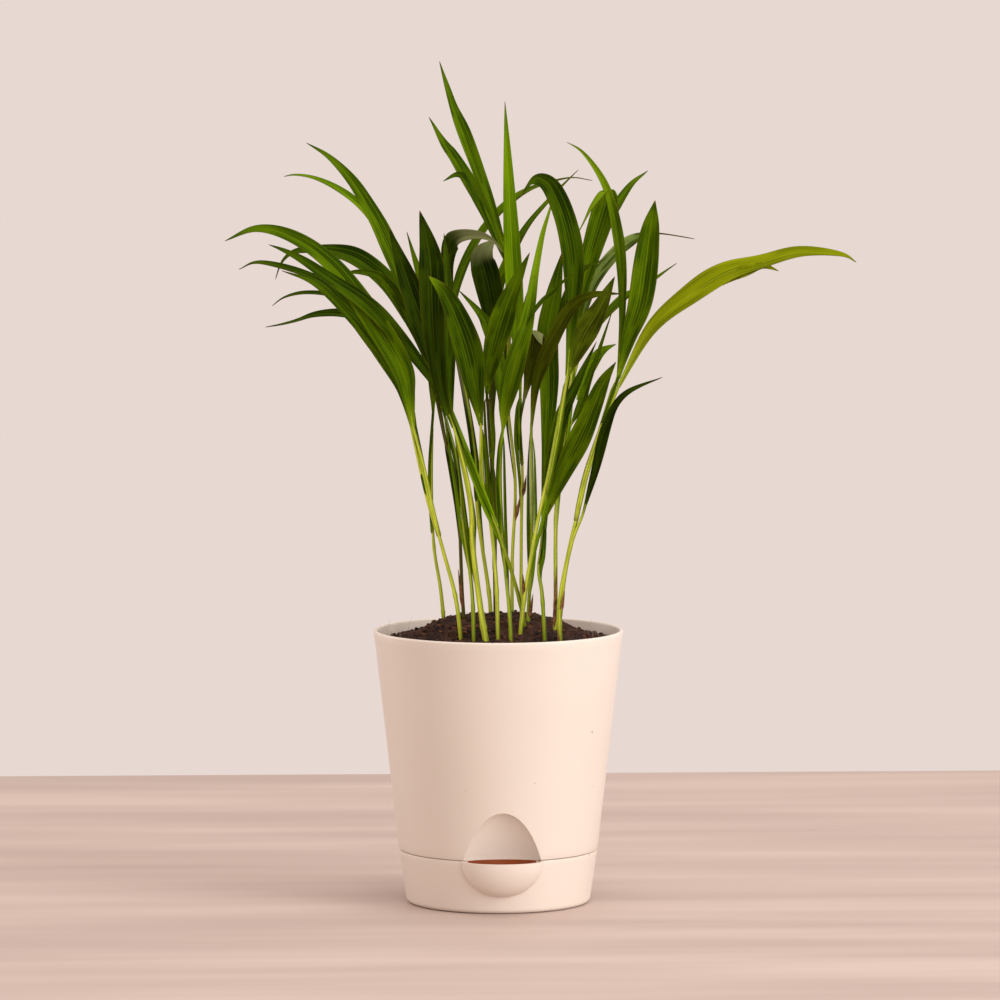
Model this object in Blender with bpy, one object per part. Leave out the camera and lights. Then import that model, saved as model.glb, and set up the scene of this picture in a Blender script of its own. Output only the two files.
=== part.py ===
"""Potted palm: a clump of palm seedlings in a two-piece self-watering planter.

The origin is the centre of the underside of the tray, +Z is up, and the pouring lip faces -Y.
Lengths in the tables are millimetres; MM turns them into the scene's metres.
"""

import math

import bmesh
import bpy
from mathutils import Matrix, Vector

MM = 0.001

# Driving dimensions of the planter.
RIM_RADIUS = 62.5
RIM_HEIGHT = 137.0
SEAM_RADIUS = 49.8
SEAM_HEIGHT = 26.5
FOOT_RADIUS = 46.3
FOOT_FILLET = 2.5
WALL = 2.0
FIT_GAP = 0.35
SEAM_GAP = 0.3
FLOOR_HEIGHT = 17.0
WELL_RADIUS = 14.0
WELL_FOOT = 3.6
ROUND_STEPS = 48
SEAM_SOLID_STEPS = 40
SOIL_STEPS = 36
OUTLINE_STEPS = 9

# The arched hollow above the lip: centre on the seam plane and half axes.
HOLLOW_CENTRE_Y = -54.0
HOLLOW_AXES = (23.9, 14.0, 24.9)

# The pouring lip: centre on the seam plane and half axes of its outside.
LIP_CENTRE_Y = -46.0
LIP_AXES = (20.4, 13.0, 18.0)
LIP_WALL = 1.3

# Holes in the floor and slots in the wick well.
DRAIN_HOLES = 8
DRAIN_RADIUS = 2.5
DRAIN_CIRCLE = 30.0
WELL_SLOTS = 4
SLOT_WIDTH = 4.0

# The soil: a low flat-topped mound, as (distance from the axis, height) from its edge inwards.
SOIL_EDGE_HEIGHT = 131.0
SOIL_CROWN = [(50, 133.3), (40, 136.3), (32, 140.3), (25, 142.6), (12, 143.7), (0, 144.0)]

# Leaflets and stems.
BLADE_THICKNESS = 0.55
BLADE_FOLD = math.radians(20)
BLADE_FOOT_WIDTH = 1.5
BLADE_TIP_WIDTH = 0.6
BLADE_TAPER = 1.6
WIDEST_SHARE = 0.42
WIDEST_SHARE_OF = {"05a": 0.62, "08c": 0.55, "09a": 0.3, "11a": 0.55, "16c": 0.35}
SPANS_PER_POINT = 2
STEM_SIDES = 6
SOCKET_GAP = 0.35
SOCKET_TOP = 150.0

# The clump stands a little turned from the lip, and PLANT_LIFT above the heights in its table.
# Its routes are given as seen along VIEW.
PLANT_TURN = math.radians(-2.5)
PLANT_LIFT = 2.0
VIEW = Vector((0.0, 1.0, 0.0))


def material(name, colour, roughness, metallic=0.0):
    """A Principled material of one colour."""
    made = bpy.data.materials.get(name)
    if made is None:
        made = bpy.data.materials.new(name)
        made.use_nodes = True
        shader = made.node_tree.nodes["Principled BSDF"]
        shader.inputs["Base Color"].default_value = (*colour, 1.0)
        shader.inputs["Roughness"].default_value = roughness
        shader.inputs["Metallic"].default_value = metallic
    return made


def clear_scene():
    for old in list(bpy.data.objects):
        bpy.data.objects.remove(old, do_unlink=True)


def add_object(name, mesh, finish=None, smooth=True):
    """Links a bmesh as a new object, its faces turned outwards, and frees the bmesh."""
    bmesh.ops.remove_doubles(mesh, verts=mesh.verts, dist=0.002 * MM)
    bmesh.ops.recalc_face_normals(mesh, faces=mesh.faces)
    data = bpy.data.meshes.new(name)
    mesh.to_mesh(data)
    mesh.free()
    if smooth:
        data.shade_smooth()
        data.set_sharp_from_angle(angle=math.radians(35))
    made = bpy.data.objects.new(name, data)
    bpy.context.scene.collection.objects.link(made)
    if finish:
        data.materials.append(finish)
    return made


def helper(name, mesh):
    """A solid that only cuts or joins: it stays out of renders and is drawn as wire."""
    made = add_object(name, mesh, smooth=False)
    made.hide_render = True
    made.display_type = "WIRE"
    return made


def boolean(target, tool, operation):
    change = target.modifiers.new(f"{operation.lower()} {tool.name}", "BOOLEAN")
    change.operation = operation
    change.solver = "EXACT"
    change.object = tool


def turned(profile, steps=ROUND_STEPS):
    """A bmesh turned round the Z axis from (radius, height) points that start and end on it."""
    mesh = bmesh.new()
    points = [mesh.verts.new((r * MM, 0.0, z * MM)) for r, z in profile]
    edges = [mesh.edges.new(pair) for pair in zip(points, points[1:])]
    bmesh.ops.spin(
        mesh,
        geom=points + edges,
        cent=(0, 0, 0),
        axis=(0, 0, 1),
        angle=math.tau,
        steps=steps,
        use_merge=True,
    )
    return mesh


def seam_solid(outline, centre_y, axes, column_end):
    """A solid that stands on the seam plane and goes on past it as a straight column.

    The outline is (radius, height) points of a unit shape from its pole to the seam plane.
    """
    end = (column_end - SEAM_HEIGHT) / axes[2]
    mesh = turned([*outline, (1.0, end), (0.0, end)], steps=SEAM_SOLID_STEPS)
    place = Matrix.Translation((0, centre_y * MM, SEAM_HEIGHT * MM)) @ Matrix.Diagonal((*axes, 1))
    bmesh.ops.transform(mesh, matrix=place, verts=mesh.verts)
    return mesh


def arch_solid(axes, lowest):
    """The shape of the hollow: a paraboloid above the seam and a column down to lowest."""
    shares = [(step / OUTLINE_STEPS) ** 2 for step in range(OUTLINE_STEPS + 1)]
    outline = [(math.sqrt(share), 1 - share) for share in shares]
    return seam_solid(outline, HOLLOW_CENTRE_Y, axes, lowest)


def bowl_solid(axes, highest):
    """The shape of the lip: half an ellipsoid below the seam and a column up to highest."""
    angles = [0.5 * math.pi * step / OUTLINE_STEPS for step in range(OUTLINE_STEPS + 1)]
    outline = [(math.sin(angle), -math.cos(angle)) for angle in angles]
    return seam_solid(outline, LIP_CENTRE_Y, axes, highest)


def grown(axes, extra):
    return tuple(axis + extra for axis in axes)


def shell_radius(height):
    """Outside radius of the shell at a height above the seam."""
    slope = (RIM_RADIUS - SEAM_RADIUS) / (RIM_HEIGHT - SEAM_HEIGHT)
    return SEAM_RADIUS + slope * (height - SEAM_HEIGHT)


def tray_radius(height):
    """Outside radius of the tray."""
    slope = (SEAM_RADIUS - FOOT_RADIUS) / (SEAM_HEIGHT - FOOT_FILLET)
    return FOOT_RADIUS + slope * (height - FOOT_FILLET)


def plug_radius(height):
    """Outside radius of the part of the shell that sits inside the tray."""
    return tray_radius(height) - WALL - FIT_GAP


def build_shell(plastic):
    step = SEAM_HEIGHT + SEAM_GAP
    plug_top = plug_radius(SEAM_HEIGHT)
    floor_top = FLOOR_HEIGHT + WALL
    rim = RIM_RADIUS
    profile = [
        (0, WELL_FOOT),
        (WELL_RADIUS - 1, WELL_FOOT),
        (WELL_RADIUS, WELL_FOOT + 1),
        (WELL_RADIUS + 0.6, FLOOR_HEIGHT),
        (plug_radius(FLOOR_HEIGHT), FLOOR_HEIGHT),
        (plug_top, step),
        (shell_radius(step), step),
        (rim - 0.1, RIM_HEIGHT - 1.0),
        (rim - 0.4, RIM_HEIGHT - 0.3),
        (rim - 1.0, RIM_HEIGHT),
        (rim - 1.6, RIM_HEIGHT - 0.3),
        (rim - WALL, RIM_HEIGHT - 1.2),
        (shell_radius(SEAM_HEIGHT + 4) - WALL, SEAM_HEIGHT + 4),
        (plug_top - WALL, SEAM_HEIGHT),
        (plug_radius(floor_top) - WALL, floor_top),
        (WELL_RADIUS - WALL + 0.6, floor_top),
        (WELL_RADIUS - WALL, WELL_FOOT + WALL),
        (0, WELL_FOOT + WALL),
    ]
    shell = add_object("planter_shell", turned(profile), plastic)

    # The hollow's own wall: a lump inside the shell, kept just inside its outer face.
    lump_floor = FLOOR_HEIGHT + 0.5
    wall_axes = grown(HOLLOW_AXES, WALL)
    lump = helper("hollow_wall", arch_solid(wall_axes, lump_floor))
    inside = [
        (0, lump_floor - 5),
        (plug_radius(FLOOR_HEIGHT) - 1, lump_floor - 5),
        (plug_top - 1, SEAM_HEIGHT + 1),
        (shell_radius(SEAM_HEIGHT + 1) - 1, SEAM_HEIGHT + 2),
        (RIM_RADIUS - 1, RIM_HEIGHT),
        (0, RIM_HEIGHT),
    ]
    boolean(lump, helper("shell_inside", turned(inside)), "INTERSECT")
    boolean(shell, lump, "UNION")
    hollow = helper("hollow", arch_solid(HOLLOW_AXES, WELL_FOOT))
    boolean(shell, hollow, "DIFFERENCE")

    for index in range(DRAIN_HOLES):
        angle = math.tau * (index + 0.5) / DRAIN_HOLES
        mesh = bmesh.new()
        bmesh.ops.create_cone(
            mesh,
            cap_ends=True,
            segments=8,
            radius1=DRAIN_RADIUS * MM,
            radius2=DRAIN_RADIUS * MM,
            depth=4 * WALL * MM,
        )
        spot = (DRAIN_CIRCLE * math.cos(angle), DRAIN_CIRCLE * math.sin(angle), FLOOR_HEIGHT + 1)
        bmesh.ops.translate(mesh, vec=Vector(spot) * MM, verts=mesh.verts)
        boolean(shell, helper(f"drain_hole_{index + 1}", mesh), "DIFFERENCE")

    for index in range(WELL_SLOTS // 2):
        mesh = bmesh.new()
        bmesh.ops.create_cube(mesh, size=1.0)
        slot = Matrix.Rotation(math.pi * (index + 0.5) / 2, 4, "Z")
        slot = slot @ Matrix.Translation((0, 0, (WELL_FOOT + 7.4) * MM))
        slot = slot @ Matrix.Diagonal((4 * WELL_RADIUS * MM, SLOT_WIDTH * MM, 6 * MM, 1))
        bmesh.ops.transform(mesh, matrix=slot, verts=mesh.verts)
        boolean(shell, helper(f"well_slot_{index + 1}", mesh), "DIFFERENCE")


def build_tray(plastic):
    inner_foot = tray_radius(WALL + 2) - WALL
    profile = [
        (0, 0),
        (FOOT_RADIUS - FOOT_FILLET, 0),
        (FOOT_RADIUS - 0.75, 0.75),
        (FOOT_RADIUS, FOOT_FILLET),
        (tray_radius(SEAM_HEIGHT - 0.6), SEAM_HEIGHT - 0.6),
        (SEAM_RADIUS - 0.6, SEAM_HEIGHT),
        (SEAM_RADIUS - WALL, SEAM_HEIGHT),
        (inner_foot, WALL + 2),
        (inner_foot - 2, WALL),
        (0, WALL),
    ]
    tray = add_object("reservoir_tray", turned(profile), plastic)

    # The lip: a half bowl outside the tray wall, then hollowed through into the tray.
    lip = helper("lip_bowl", bowl_solid(LIP_AXES, SEAM_HEIGHT + 0.01))
    space = [
        (0, WALL + 1),
        (inner_foot + 0.8, WALL + 1),
        (SEAM_RADIUS - WALL + 0.8, SEAM_HEIGHT + 3),
        (0, SEAM_HEIGHT + 3),
    ]
    boolean(lip, helper("tray_inside", turned(space)), "DIFFERENCE")
    boolean(tray, lip, "UNION")
    inner = grown(LIP_AXES, -LIP_WALL)
    scoop = helper("lip_scoop", bowl_solid(inner, SEAM_HEIGHT + 8))
    boolean(tray, scoop, "DIFFERENCE")


def build_soil(finish, sockets):
    gap = WALL + FIT_GAP
    edge = shell_radius(SOIL_EDGE_HEIGHT) - gap
    floor_top = FLOOR_HEIGHT + gap
    profile = [
        (0, WELL_FOOT + gap),
        (WELL_RADIUS - gap, WELL_FOOT + gap),
        (WELL_RADIUS - gap + 0.4, floor_top),
        (plug_radius(floor_top) - gap - 0.1, floor_top),
        (plug_radius(SEAM_HEIGHT) - gap - 0.2, SEAM_HEIGHT + 0.2),
        (shell_radius(SEAM_HEIGHT + 4) - gap - 0.2, SEAM_HEIGHT + 4.3),
        (edge, SOIL_EDGE_HEIGHT),
    ]
    soil = add_object("potting_soil", turned(profile + SOIL_CROWN, steps=SOIL_STEPS), finish)
    room = arch_solid(grown(HOLLOW_AXES, gap), WELL_FOOT)
    boolean(soil, helper("room_for_hollow", room), "DIFFERENCE")
    for socket in sockets:
        boolean(soil, socket, "DIFFERENCE")


def smooth_route(points):
    """Places along the smooth curve through the points, with the way that it runs at each."""
    knots = [Vector(p) for p in points]
    knots = [2 * knots[0] - knots[1]] + knots + [2 * knots[-1] - knots[-2]]
    places = []
    for a, b, c, d in zip(knots, knots[1:], knots[2:], knots[3:]):
        for step in range(SPANS_PER_POINT):
            t = step / SPANS_PER_POINT
            bend = 2 * a - 5 * b + 4 * c - d
            turn = 3 * (b - c) + d - a
            place = b + 0.5 * t * (c - a + t * (bend + t * turn))
            way = 0.5 * (c - a + 2 * t * bend + 3 * t * t * turn)
            places.append((place, way.normalized()))
    places.append((knots[-2], (knots[-2] - knots[-3]).normalized()))
    return places


def loft(rings):
    """A closed bmesh through rings of the plant, with both ends capped, turned to its place."""
    mesh = bmesh.new()
    loops = [[mesh.verts.new(Vector(p) * MM) for p in ring] for ring in rings]
    count = len(loops[0])
    for low, high in zip(loops, loops[1:]):
        for i in range(count):
            j = (i + 1) % count
            mesh.faces.new((low[i], low[j], high[j], high[i]))
    mesh.faces.new(loops[0])
    mesh.faces.new(reversed(loops[-1]))
    bmesh.ops.triangulate(mesh, faces=mesh.faces)
    place = Matrix.Rotation(PLANT_TURN, 4, "Z") @ Matrix.Translation((0, 0, PLANT_LIFT * MM))
    bmesh.ops.transform(mesh, matrix=place, verts=mesh.verts)
    return mesh


def stem_rings(places, radii):
    """Rings of a tapering stem, whose radius goes from radii[0] to radii[1]."""
    rings = []
    for index, (place, way) in enumerate(places):
        share = index / (len(places) - 1)
        radius = radii[0] + (radii[1] - radii[0]) * share
        side = way.cross(VIEW).normalized()
        other = side.cross(way)
        angles = [math.tau * k / STEM_SIDES for k in range(STEM_SIDES)]
        rings.append([place + radius * (math.cos(a) * side + math.sin(a) * other) for a in angles])
    return rings


def blade_width(share, width, widest):
    """Width of a leaflet at a share of its length: a quick rise to widest, then a long taper."""
    if share < widest:
        grow = math.sin(0.5 * math.pi * share / widest)
        return BLADE_FOOT_WIDTH + (width - BLADE_FOOT_WIDTH) * grow
    fall = (share - widest) / (1 - widest)
    return BLADE_TIP_WIDTH + (width - BLADE_TIP_WIDTH) * (1 - fall**BLADE_TAPER)


def blade_sides(places, turn):
    """The way across a leaflet at each place, carried along its route without a kink.

    It starts turned by turn[0] from the front, and twists evenly by the rest of the turn.
    """
    way = places[0][1]
    side = Matrix.Rotation(math.radians(turn[0]), 3, way) @ way.cross(VIEW).normalized()
    twist = math.radians(turn[1] - turn[0]) / (len(places) - 1)
    sides = [side]
    for (_, before), (_, way) in zip(places, places[1:]):
        side = before.rotation_difference(way) @ side
        side = Matrix.Rotation(twist, 3, way) @ side
        sides.append(side)
    return sides


def blade_rings(places, width, turn, widest):
    """Rings of a leaflet: a shallow V across its midrib."""
    rings = []
    for index, ((place, way), side) in enumerate(zip(places, blade_sides(places, turn))):
        half = 0.5 * blade_width(index / (len(places) - 1), width, widest)
        up = way.cross(side)
        out = half * math.cos(BLADE_FOLD) * side
        lift = half * math.sin(BLADE_FOLD) * up
        thick = 0.5 * BLADE_THICKNESS * up
        left = place - out + lift
        right = place + out + lift
        rings.append([left - thick, place - thick, right - thick])
        rings[-1] += [right + thick, place + thick, left + thick]
    return rings


def socket_cutter(name, places, radii):
    """The hole that a stem needs in the soil: its foot, a little wider and longer."""
    wide = (radii[0] + SOCKET_GAP, radii[1] + SOCKET_GAP)
    rings = stem_rings(places, wide)
    kept = [ring for ring, (place, _) in zip(rings, places) if place.z < SOCKET_TOP]
    kept = rings[: len(kept) + 1]
    foot_way = places[0][1]
    kept[0] = [point - SOCKET_GAP * foot_way for point in kept[0]]
    return helper(name, loft(kept))


# Each shoot: the radii of its stem at foot and top, the route of the stem, and its leaflets as
# (width, (turn at foot, turn at tip) in degrees, route). A turn of 0 shows the blade to the front.
SHOOTS = {
    "01": {
        "radii": (1.2, 0.6),
        "stem": [(-26.5, 22, 126), (-29, 23, 152), (-32.5, 24, 175), (-33.5, 23, 205), (-33, 21, 240)],
        "a": (7, (40, 50), [(-32.8, 20, 242), (-33.5, 20, 270), (-36.5, 22, 298), (-46, 27, 333)]),
    },
    "02": {
        "radii": (1.3, 0.8),
        "stem": [(-17.5, -34, 124), (-21, -37, 154), (-27.5, -38, 179), (-35.3, -38, 208), (-41, -38, 237)],
        "a": (
            10,
            (5, 70),
            [(-42, -39.4, 240), (-44.5, -43, 256), (-48.5, -45, 271), (-65, -48, 298)]
            + [(-81, -51, 319.5), (-100, -53, 333.5), (-118, -56, 338.5), (-134, -58, 332.5)],
        ),
        "b": (
            7,
            (40, 70),
            [(-41, -35.4, 240), (-46.5, -32, 258), (-57, -29, 272), (-81, -23, 304)]
            + [(-94, -20, 313), (-118, -14, 319.5), (-129, -12, 316)],
        ),
        "c": (
            8,
            (30, 60),
            [(-43, -36.8, 239.5), (-46, -36.5, 252), (-50.5, -36, 264), (-60, -36, 277)]
            + [(-73, -37, 293.5), (-90, -38, 310), (-107, -38, 317)],
        ),
        "d": (
            4,
            (50, 80),
            [(-42.5, -27, 250), (-52, -19, 266), (-66, -14, 283), (-80, -11, 301.5)]
            + [(-93, -8, 304), (-113, -5, 297)],
        ),
    },
    "03": {
        "radii": (1.2, 0.7),
        "stem": [(-16, 0, 126), (-18, -1, 152), (-19.5, -5, 190), (-22, -11, 215), (-26.3, -19, 233)],
        "a": (
            7,
            (50, 70),
            [(-26.9, -20.6, 235.5), (-29.5, -27, 246), (-38, -40, 265), (-46, -48, 277)]
            + [(-55, -55, 288), (-68, -60, 299.5), (-82, -63, 314), (-94, -65, 322), (-113, -68, 331)],
        ),
        "b": (
            5,
            (40, 75),
            [(-27.4, -17.5, 235.5), (-38, -15, 260), (-56, -11, 280), (-70, -5, 290)]
            + [(-84, 0, 292), (-98, 3, 290), (-116, 6, 286.5)],
        ),
    },
    "04": {
        "radii": (1.2, 0.7),
        "stem": [(-12, -40, 124), (-13, -39, 158), (-17.5, -36, 193), (-20, -27, 220), (-26.5, -4, 243)],
        "a": (
            9,
            (20, 45),
            [(-27.4, -2, 245), (-34.5, 6, 280), (-44.5, 13, 295), (-54, 20, 304)]
            + [(-70, 28, 317), (-88, 34, 321.5), (-105, 38, 319.5), (-112, 40, 308)],
        ),
    },
    "05": {
        "radii": (1.9, 1.2),
        "stem": [(-4.5, -41, 124), (-8.5, -40, 148), (-12.5, -39, 179), (-14, -39, 203), (-21, -39, 237)],
        "a": (
            14,
            (0, 10),
            [(-21.9, -39.4, 239.5), (-28.5, -43, 260), (-32, -48, 288), (-33, -52, 316)]
            + [(-34.5, -54, 330), (-38.5, -57, 347.5)],
        ),
    },
    "06": {
        "radii": (1.3, 0.8),
        "stem": [(-3.5, 16, 127), (-4.5, 16, 150), (-10, 14, 189), (-14, 10, 234), (-22.5, 8, 280)],
        "a": (
            11,
            (0, -85),
            [(-22.8, 7.2, 282), (-23.5, 9, 303), (-21.5, 8, 322), (-15, 5, 330)]
            + [(-6, -2, 331), (0, -9, 328), (3, -15, 323)],
        ),
        "b": (
            6,
            (-20, -75),
            [(-22.6, 9.6, 282), (-21, 26, 304), (-9, 43, 330), (10, 53, 349), (34, 60, 358), (48, 64, 357)],
        ),
    },
    "07": {
        "radii": (1.2, 0.8),
        "stem": [(0, -39, 124), (-1, -37, 163), (-4.5, -33, 197), (-7.5, -32, 212), (-8.3, -32, 238)],
        "a": (
            15,
            (5, 30),
            [(-8.6, -33, 240), (-11.5, -43, 259), (-15, -54, 278), (-20.8, -66, 296)]
            + [(-27, -75, 309), (-34, -84, 317)],
        ),
    },
    "08": {
        "radii": (1.0, 0.7),
        "stem": [(-1.5, 27, 127), (-2, 26, 165), (-2.7, 22, 200), (-4, 12, 225), (-5, 0, 242), (-5.5, -10, 252)],
        "a": (
            11,
            (5, 20),
            [(-4.3, 14, 229), (-5.5, 22, 253), (-4, 26, 275), (-6.5, 26.5, 308)]
            + [(-9, 29, 324), (-7, 34, 325), (-5.5, 36, 317)],
        ),
        "b": (
            6,
            (-30, -60),
            [(-2, 14.2, 229), (-3.3, 28, 255), (-1.5, 38, 282), (1, 46, 306)]
            + [(13, 58, 331), (26, 69, 347), (41, 80, 362)],
        ),
        "c": (
            13,
            (-5, -15),
            [(-5.7, -11.6, 254.3), (-4.3, -19, 266), (-1.5, -25, 280), (3, -30, 295)]
            + [(7.5, -34, 308), (15.5, -40, 326)],
        ),
    },
    "09": {
        "radii": (1.2, 0.8),
        "stem": [(6.5, -41, 124), (5.5, -39, 148), (2.5, -30, 179), (1, -28, 212), (1.8, -28, 236)],
        "a": (
            12,
            (0, -65),
            [(2.4, -29.4, 238), (3.5, -34, 250), (7, -39, 265.5), (11, -42, 280.5), (14, -40, 290)]
            + [(16.3, -31, 302), (18.3, -20, 315), (21.8, -8, 332), (25.3, 2, 343.5), (27.5, 8, 352)],
        ),
        "b": (
            8,
            (10, 10),
            [(2.2, -26.8, 238), (1.4, -15, 256), (-1.5, -1, 275), (-5.5, 2, 287)]
            + [(-10, 4, 294), (-20, 6, 305)],
        ),
    },
    "10": {
        "radii": (1.1, 0.6),
        "stem": [(7, 13, 127), (7, 13, 168), (8.5, 12, 208), (4.5, 13, 252), (6, 14, 285), (5, 15, 318)],
        "a": (
            8,
            (15, 40),
            [(5, 15.8, 320.5), (-5, 18, 349), (-17, 21, 381), (-24, 23, 399), (-29.5, 25, 418.5)],
        ),
        "b": (
            8,
            (20, 30),
            [(3.6, 18, 318), (-3, 25, 337), (-20, 32, 366), (-27, 36, 376), (-35, 42, 390)],
        ),
        "c": (
            5,
            (30, 60),
            [(3.6, 12.6, 318), (-8.5, 4, 344), (-16, -3, 359), (-20.5, -8, 363), (-27.5, -16, 360)],
        ),
    },
    "11": {
        "radii": (1.0, 0.7),
        "stem": [(11.5, 5, 127), (11.5, 5, 180), (12, 3, 214), (10.7, 1, 235), (11.3, 0, 252)],
        "a": (
            9.5,
            (0, 5),
            [(11, 0.6, 254), (10, 2, 277), (8, 4, 305), (5.6, 7, 350), (3.3, 10, 399)],
        ),
        "b": (
            11,
            (0, -50),
            [(13, -2.4, 251), (15.5, -10, 264), (17, -18, 277), (19, -25, 284.5)]
            + [(22.5, -31, 284), (24.8, -31.5, 278)],
        ),
    },
    "12": {
        "radii": (1.3, 0.8),
        "stem": [(9.5, -33, 124), (13.5, -34, 158), (19.5, -33, 192), (25.5, -30, 219), (33.3, -26, 262)],
        "a": (
            11,
            (5, 35),
            [(34, -27.4, 264), (36.3, -33, 297), (36.5, -38, 322.5), (32, -46, 344)]
            + [(24.5, -58, 360.5), (16.5, -68, 363.3), (10.8, -75, 355.5)],
        ),
        "b": (13, (0, -15), [(34.4, -25, 264), (41, -20, 281), (49.5, -12, 295), (58, -3, 312)]),
    },
    "13": {
        "radii": (1.2, 0.8),
        "stem": [(14.5, -18, 127), (15, -18, 146), (16, -18, 165), (17, -17, 200), (16.3, -17.5, 235)],
        "a": (
            8,
            (-10, -45),
            [(16.4, -19.2, 237), (19, -27, 261), (26, -40, 280), (35, -50, 298)]
            + [(45.5, -57, 306), (61, -62, 307)],
        ),
    },
    "14": {
        "radii": (1.2, 0.8),
        "stem": [(23.5, -37, 124), (21.8, -36, 155), (20, -33, 168), (21.5, -29, 179), (22.5, -25, 192)],
        "a": (
            12,
            (0, -20),
            [(23.4, -26.4, 194), (33, -39, 219), (43, -51, 241), (51, -60, 262), (57.5, -68, 274)],
        ),
        "b": (
            8,
            (0, -10),
            [(24, -24.4, 194.5), (27, -20, 217), (31, -16, 241), (38.5, -11, 258), (49, -6, 280)],
        ),
        "c": (
            8,
            (-20, -20),
            [(22, -23.2, 194.5), (22.8, -16, 212), (24.3, -8, 232), (25.5, 0, 258), (25, 3, 285), (32, 8, 324)],
        ),
    },
    "15": {
        "radii": (1.4, 0.8),
        "stem": [(27.5, -18, 127), (28.5, -18, 146), (29, -13, 199), (34, -4, 240), (38, 3, 275)],
        "a": (
            10,
            (-10, -60),
            [(39, 4, 277), (46, 14, 304), (57, 24, 319), (68.5, 33, 328), (80, 40, 331), (99.5, 50, 328)],
        ),
        "b": (
            7,
            (-50, -60),
            [(37.8, 6.2, 277), (43, 24, 304), (51, 38, 329), (66, 58, 353), (76, 66, 362)],
        ),
        "c": (
            11,
            (-5, 10),
            [(37.6, 1, 277), (41, 0, 300), (46, 0, 330), (51, -1, 346), (51.5, -5, 352)]
            + [(43, -12, 342), (35, -20, 324)],
        ),
        "d": (
            6,
            (-40, -50),
            [(39.4, 2.6, 268), (49, 9, 285), (62, 16, 299), (74, 22, 306), (90, 30, 317)],
        ),
        "e": (5, (-20, -20), [(35.8, -3.8, 237), (41, -2, 247), (45, -1, 259), (57, 1, 295)]),
    },
    "16": {
        "radii": (1.4, 0.9),
        "stem": [
            (31, -36, 124), (30.5, -36, 152), (35.5, -34, 180),
            (39.3, -32, 196), (43.2, -30, 214), (57.5, -25, 261),
        ],
        "a": (
            5,
            (-30, -30),
            [(59, -24.6, 263), (62, -24, 302), (60, -22, 329), (57, -20, 350)]
            + [(50, -17, 364), (41, -13, 376), (33, -9, 379)],
        ),
        "b": (
            12,
            (0, -5),
            [(59.4, -27, 263), (65, -33, 285), (70.5, -39, 304), (74.5, -43, 335), (77, -47, 352)],
        ),
        "c": (
            12,
            (-5, -45),
            [(59.4, -22.4, 258), (76, -16, 287), (96, -10, 303.5), (113, -5, 313.5)]
            + [(131, 0, 318.5), (150, 4, 323.5), (171, 8, 322), (179, 9, 318.5)],
        ),
        "d": (
            6,
            (-10, -50),
            [(41.5, -33.5, 195), (48, -39, 218), (54, -43, 241), (62, -46, 256), (81, -46, 265)],
        ),
    },
    "17": {
        "radii": (1.2, 0.8),
        "stem": [(15.5, -24, 126), (10, -31, 155), (0.8, -44, 186), (-7.5, -40, 207), (-28, -26, 258)],
        "a": (13, (10, 20), [(-29, -27, 260), (-36, -30, 286), (-44.5, -31, 311), (-54, -32, 338)]),
        "b": (
            8,
            (15, 45),
            [(-28.4, -23.6, 260), (-44, -15, 305), (-53, -9, 331), (-64, -1, 351), (-96, 12, 379)],
        ),
        "c": (
            4,
            (60, 70),
            [(-53, -9, 319), (-66, 0, 343), (-75, 5, 349), (-94, 12, 361), (-107, 16, 361)],
        ),
    },
}


def build_plant(stem_finish, leaf_finish):
    """Makes every stem and leaflet, and returns the cutters of the stems' sockets in the soil."""
    sockets = []
    for shoot, parts in SHOOTS.items():
        places = smooth_route(parts["stem"])
        add_object(f"stem_{shoot}", loft(stem_rings(places, parts["radii"])), stem_finish)
        sockets.append(socket_cutter(f"socket_{shoot}", places, parts["radii"]))
        for letter in sorted(parts.keys() - {"stem", "radii"}):
            width, turn, route = parts[letter]
            widest = WIDEST_SHARE_OF.get(shoot + letter, WIDEST_SHARE)
            rings = blade_rings(smooth_route(route), width, turn, widest)
            add_object(f"leaflet_{shoot}{letter}", loft(rings), leaf_finish)
    return sockets


def main():
    clear_scene()
    plastic = material("beige_plastic", (0.80, 0.66, 0.55), 0.45)
    earth = material("potting_mix", (0.035, 0.018, 0.011), 0.95)
    stalk = material("stem_green", (0.22, 0.32, 0.03), 0.5)
    blade = material("leaf_green", (0.035, 0.09, 0.006), 0.4)
    build_shell(plastic)
    build_tray(plastic)
    build_soil(earth, build_plant(stalk, blade))


main()
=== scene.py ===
"""Looks of a potted palm: a clump of palm shoots in a two-piece self-watering planter."""

import math
import random

import bpy
from mathutils import Matrix, Vector


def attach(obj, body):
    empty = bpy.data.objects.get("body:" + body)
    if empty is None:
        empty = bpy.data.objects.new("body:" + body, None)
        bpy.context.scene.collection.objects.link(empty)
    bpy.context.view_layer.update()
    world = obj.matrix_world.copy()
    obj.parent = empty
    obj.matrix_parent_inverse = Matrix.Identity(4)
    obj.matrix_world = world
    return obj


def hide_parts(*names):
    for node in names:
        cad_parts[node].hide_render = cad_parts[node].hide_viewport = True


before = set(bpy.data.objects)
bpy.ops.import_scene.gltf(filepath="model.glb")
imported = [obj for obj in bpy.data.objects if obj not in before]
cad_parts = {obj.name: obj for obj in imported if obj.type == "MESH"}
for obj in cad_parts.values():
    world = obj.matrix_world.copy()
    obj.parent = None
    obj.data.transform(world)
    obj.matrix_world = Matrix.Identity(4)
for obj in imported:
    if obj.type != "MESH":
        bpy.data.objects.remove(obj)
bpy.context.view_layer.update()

MM = 0.001
BODY = "root"
draw = random.Random(11)

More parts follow.
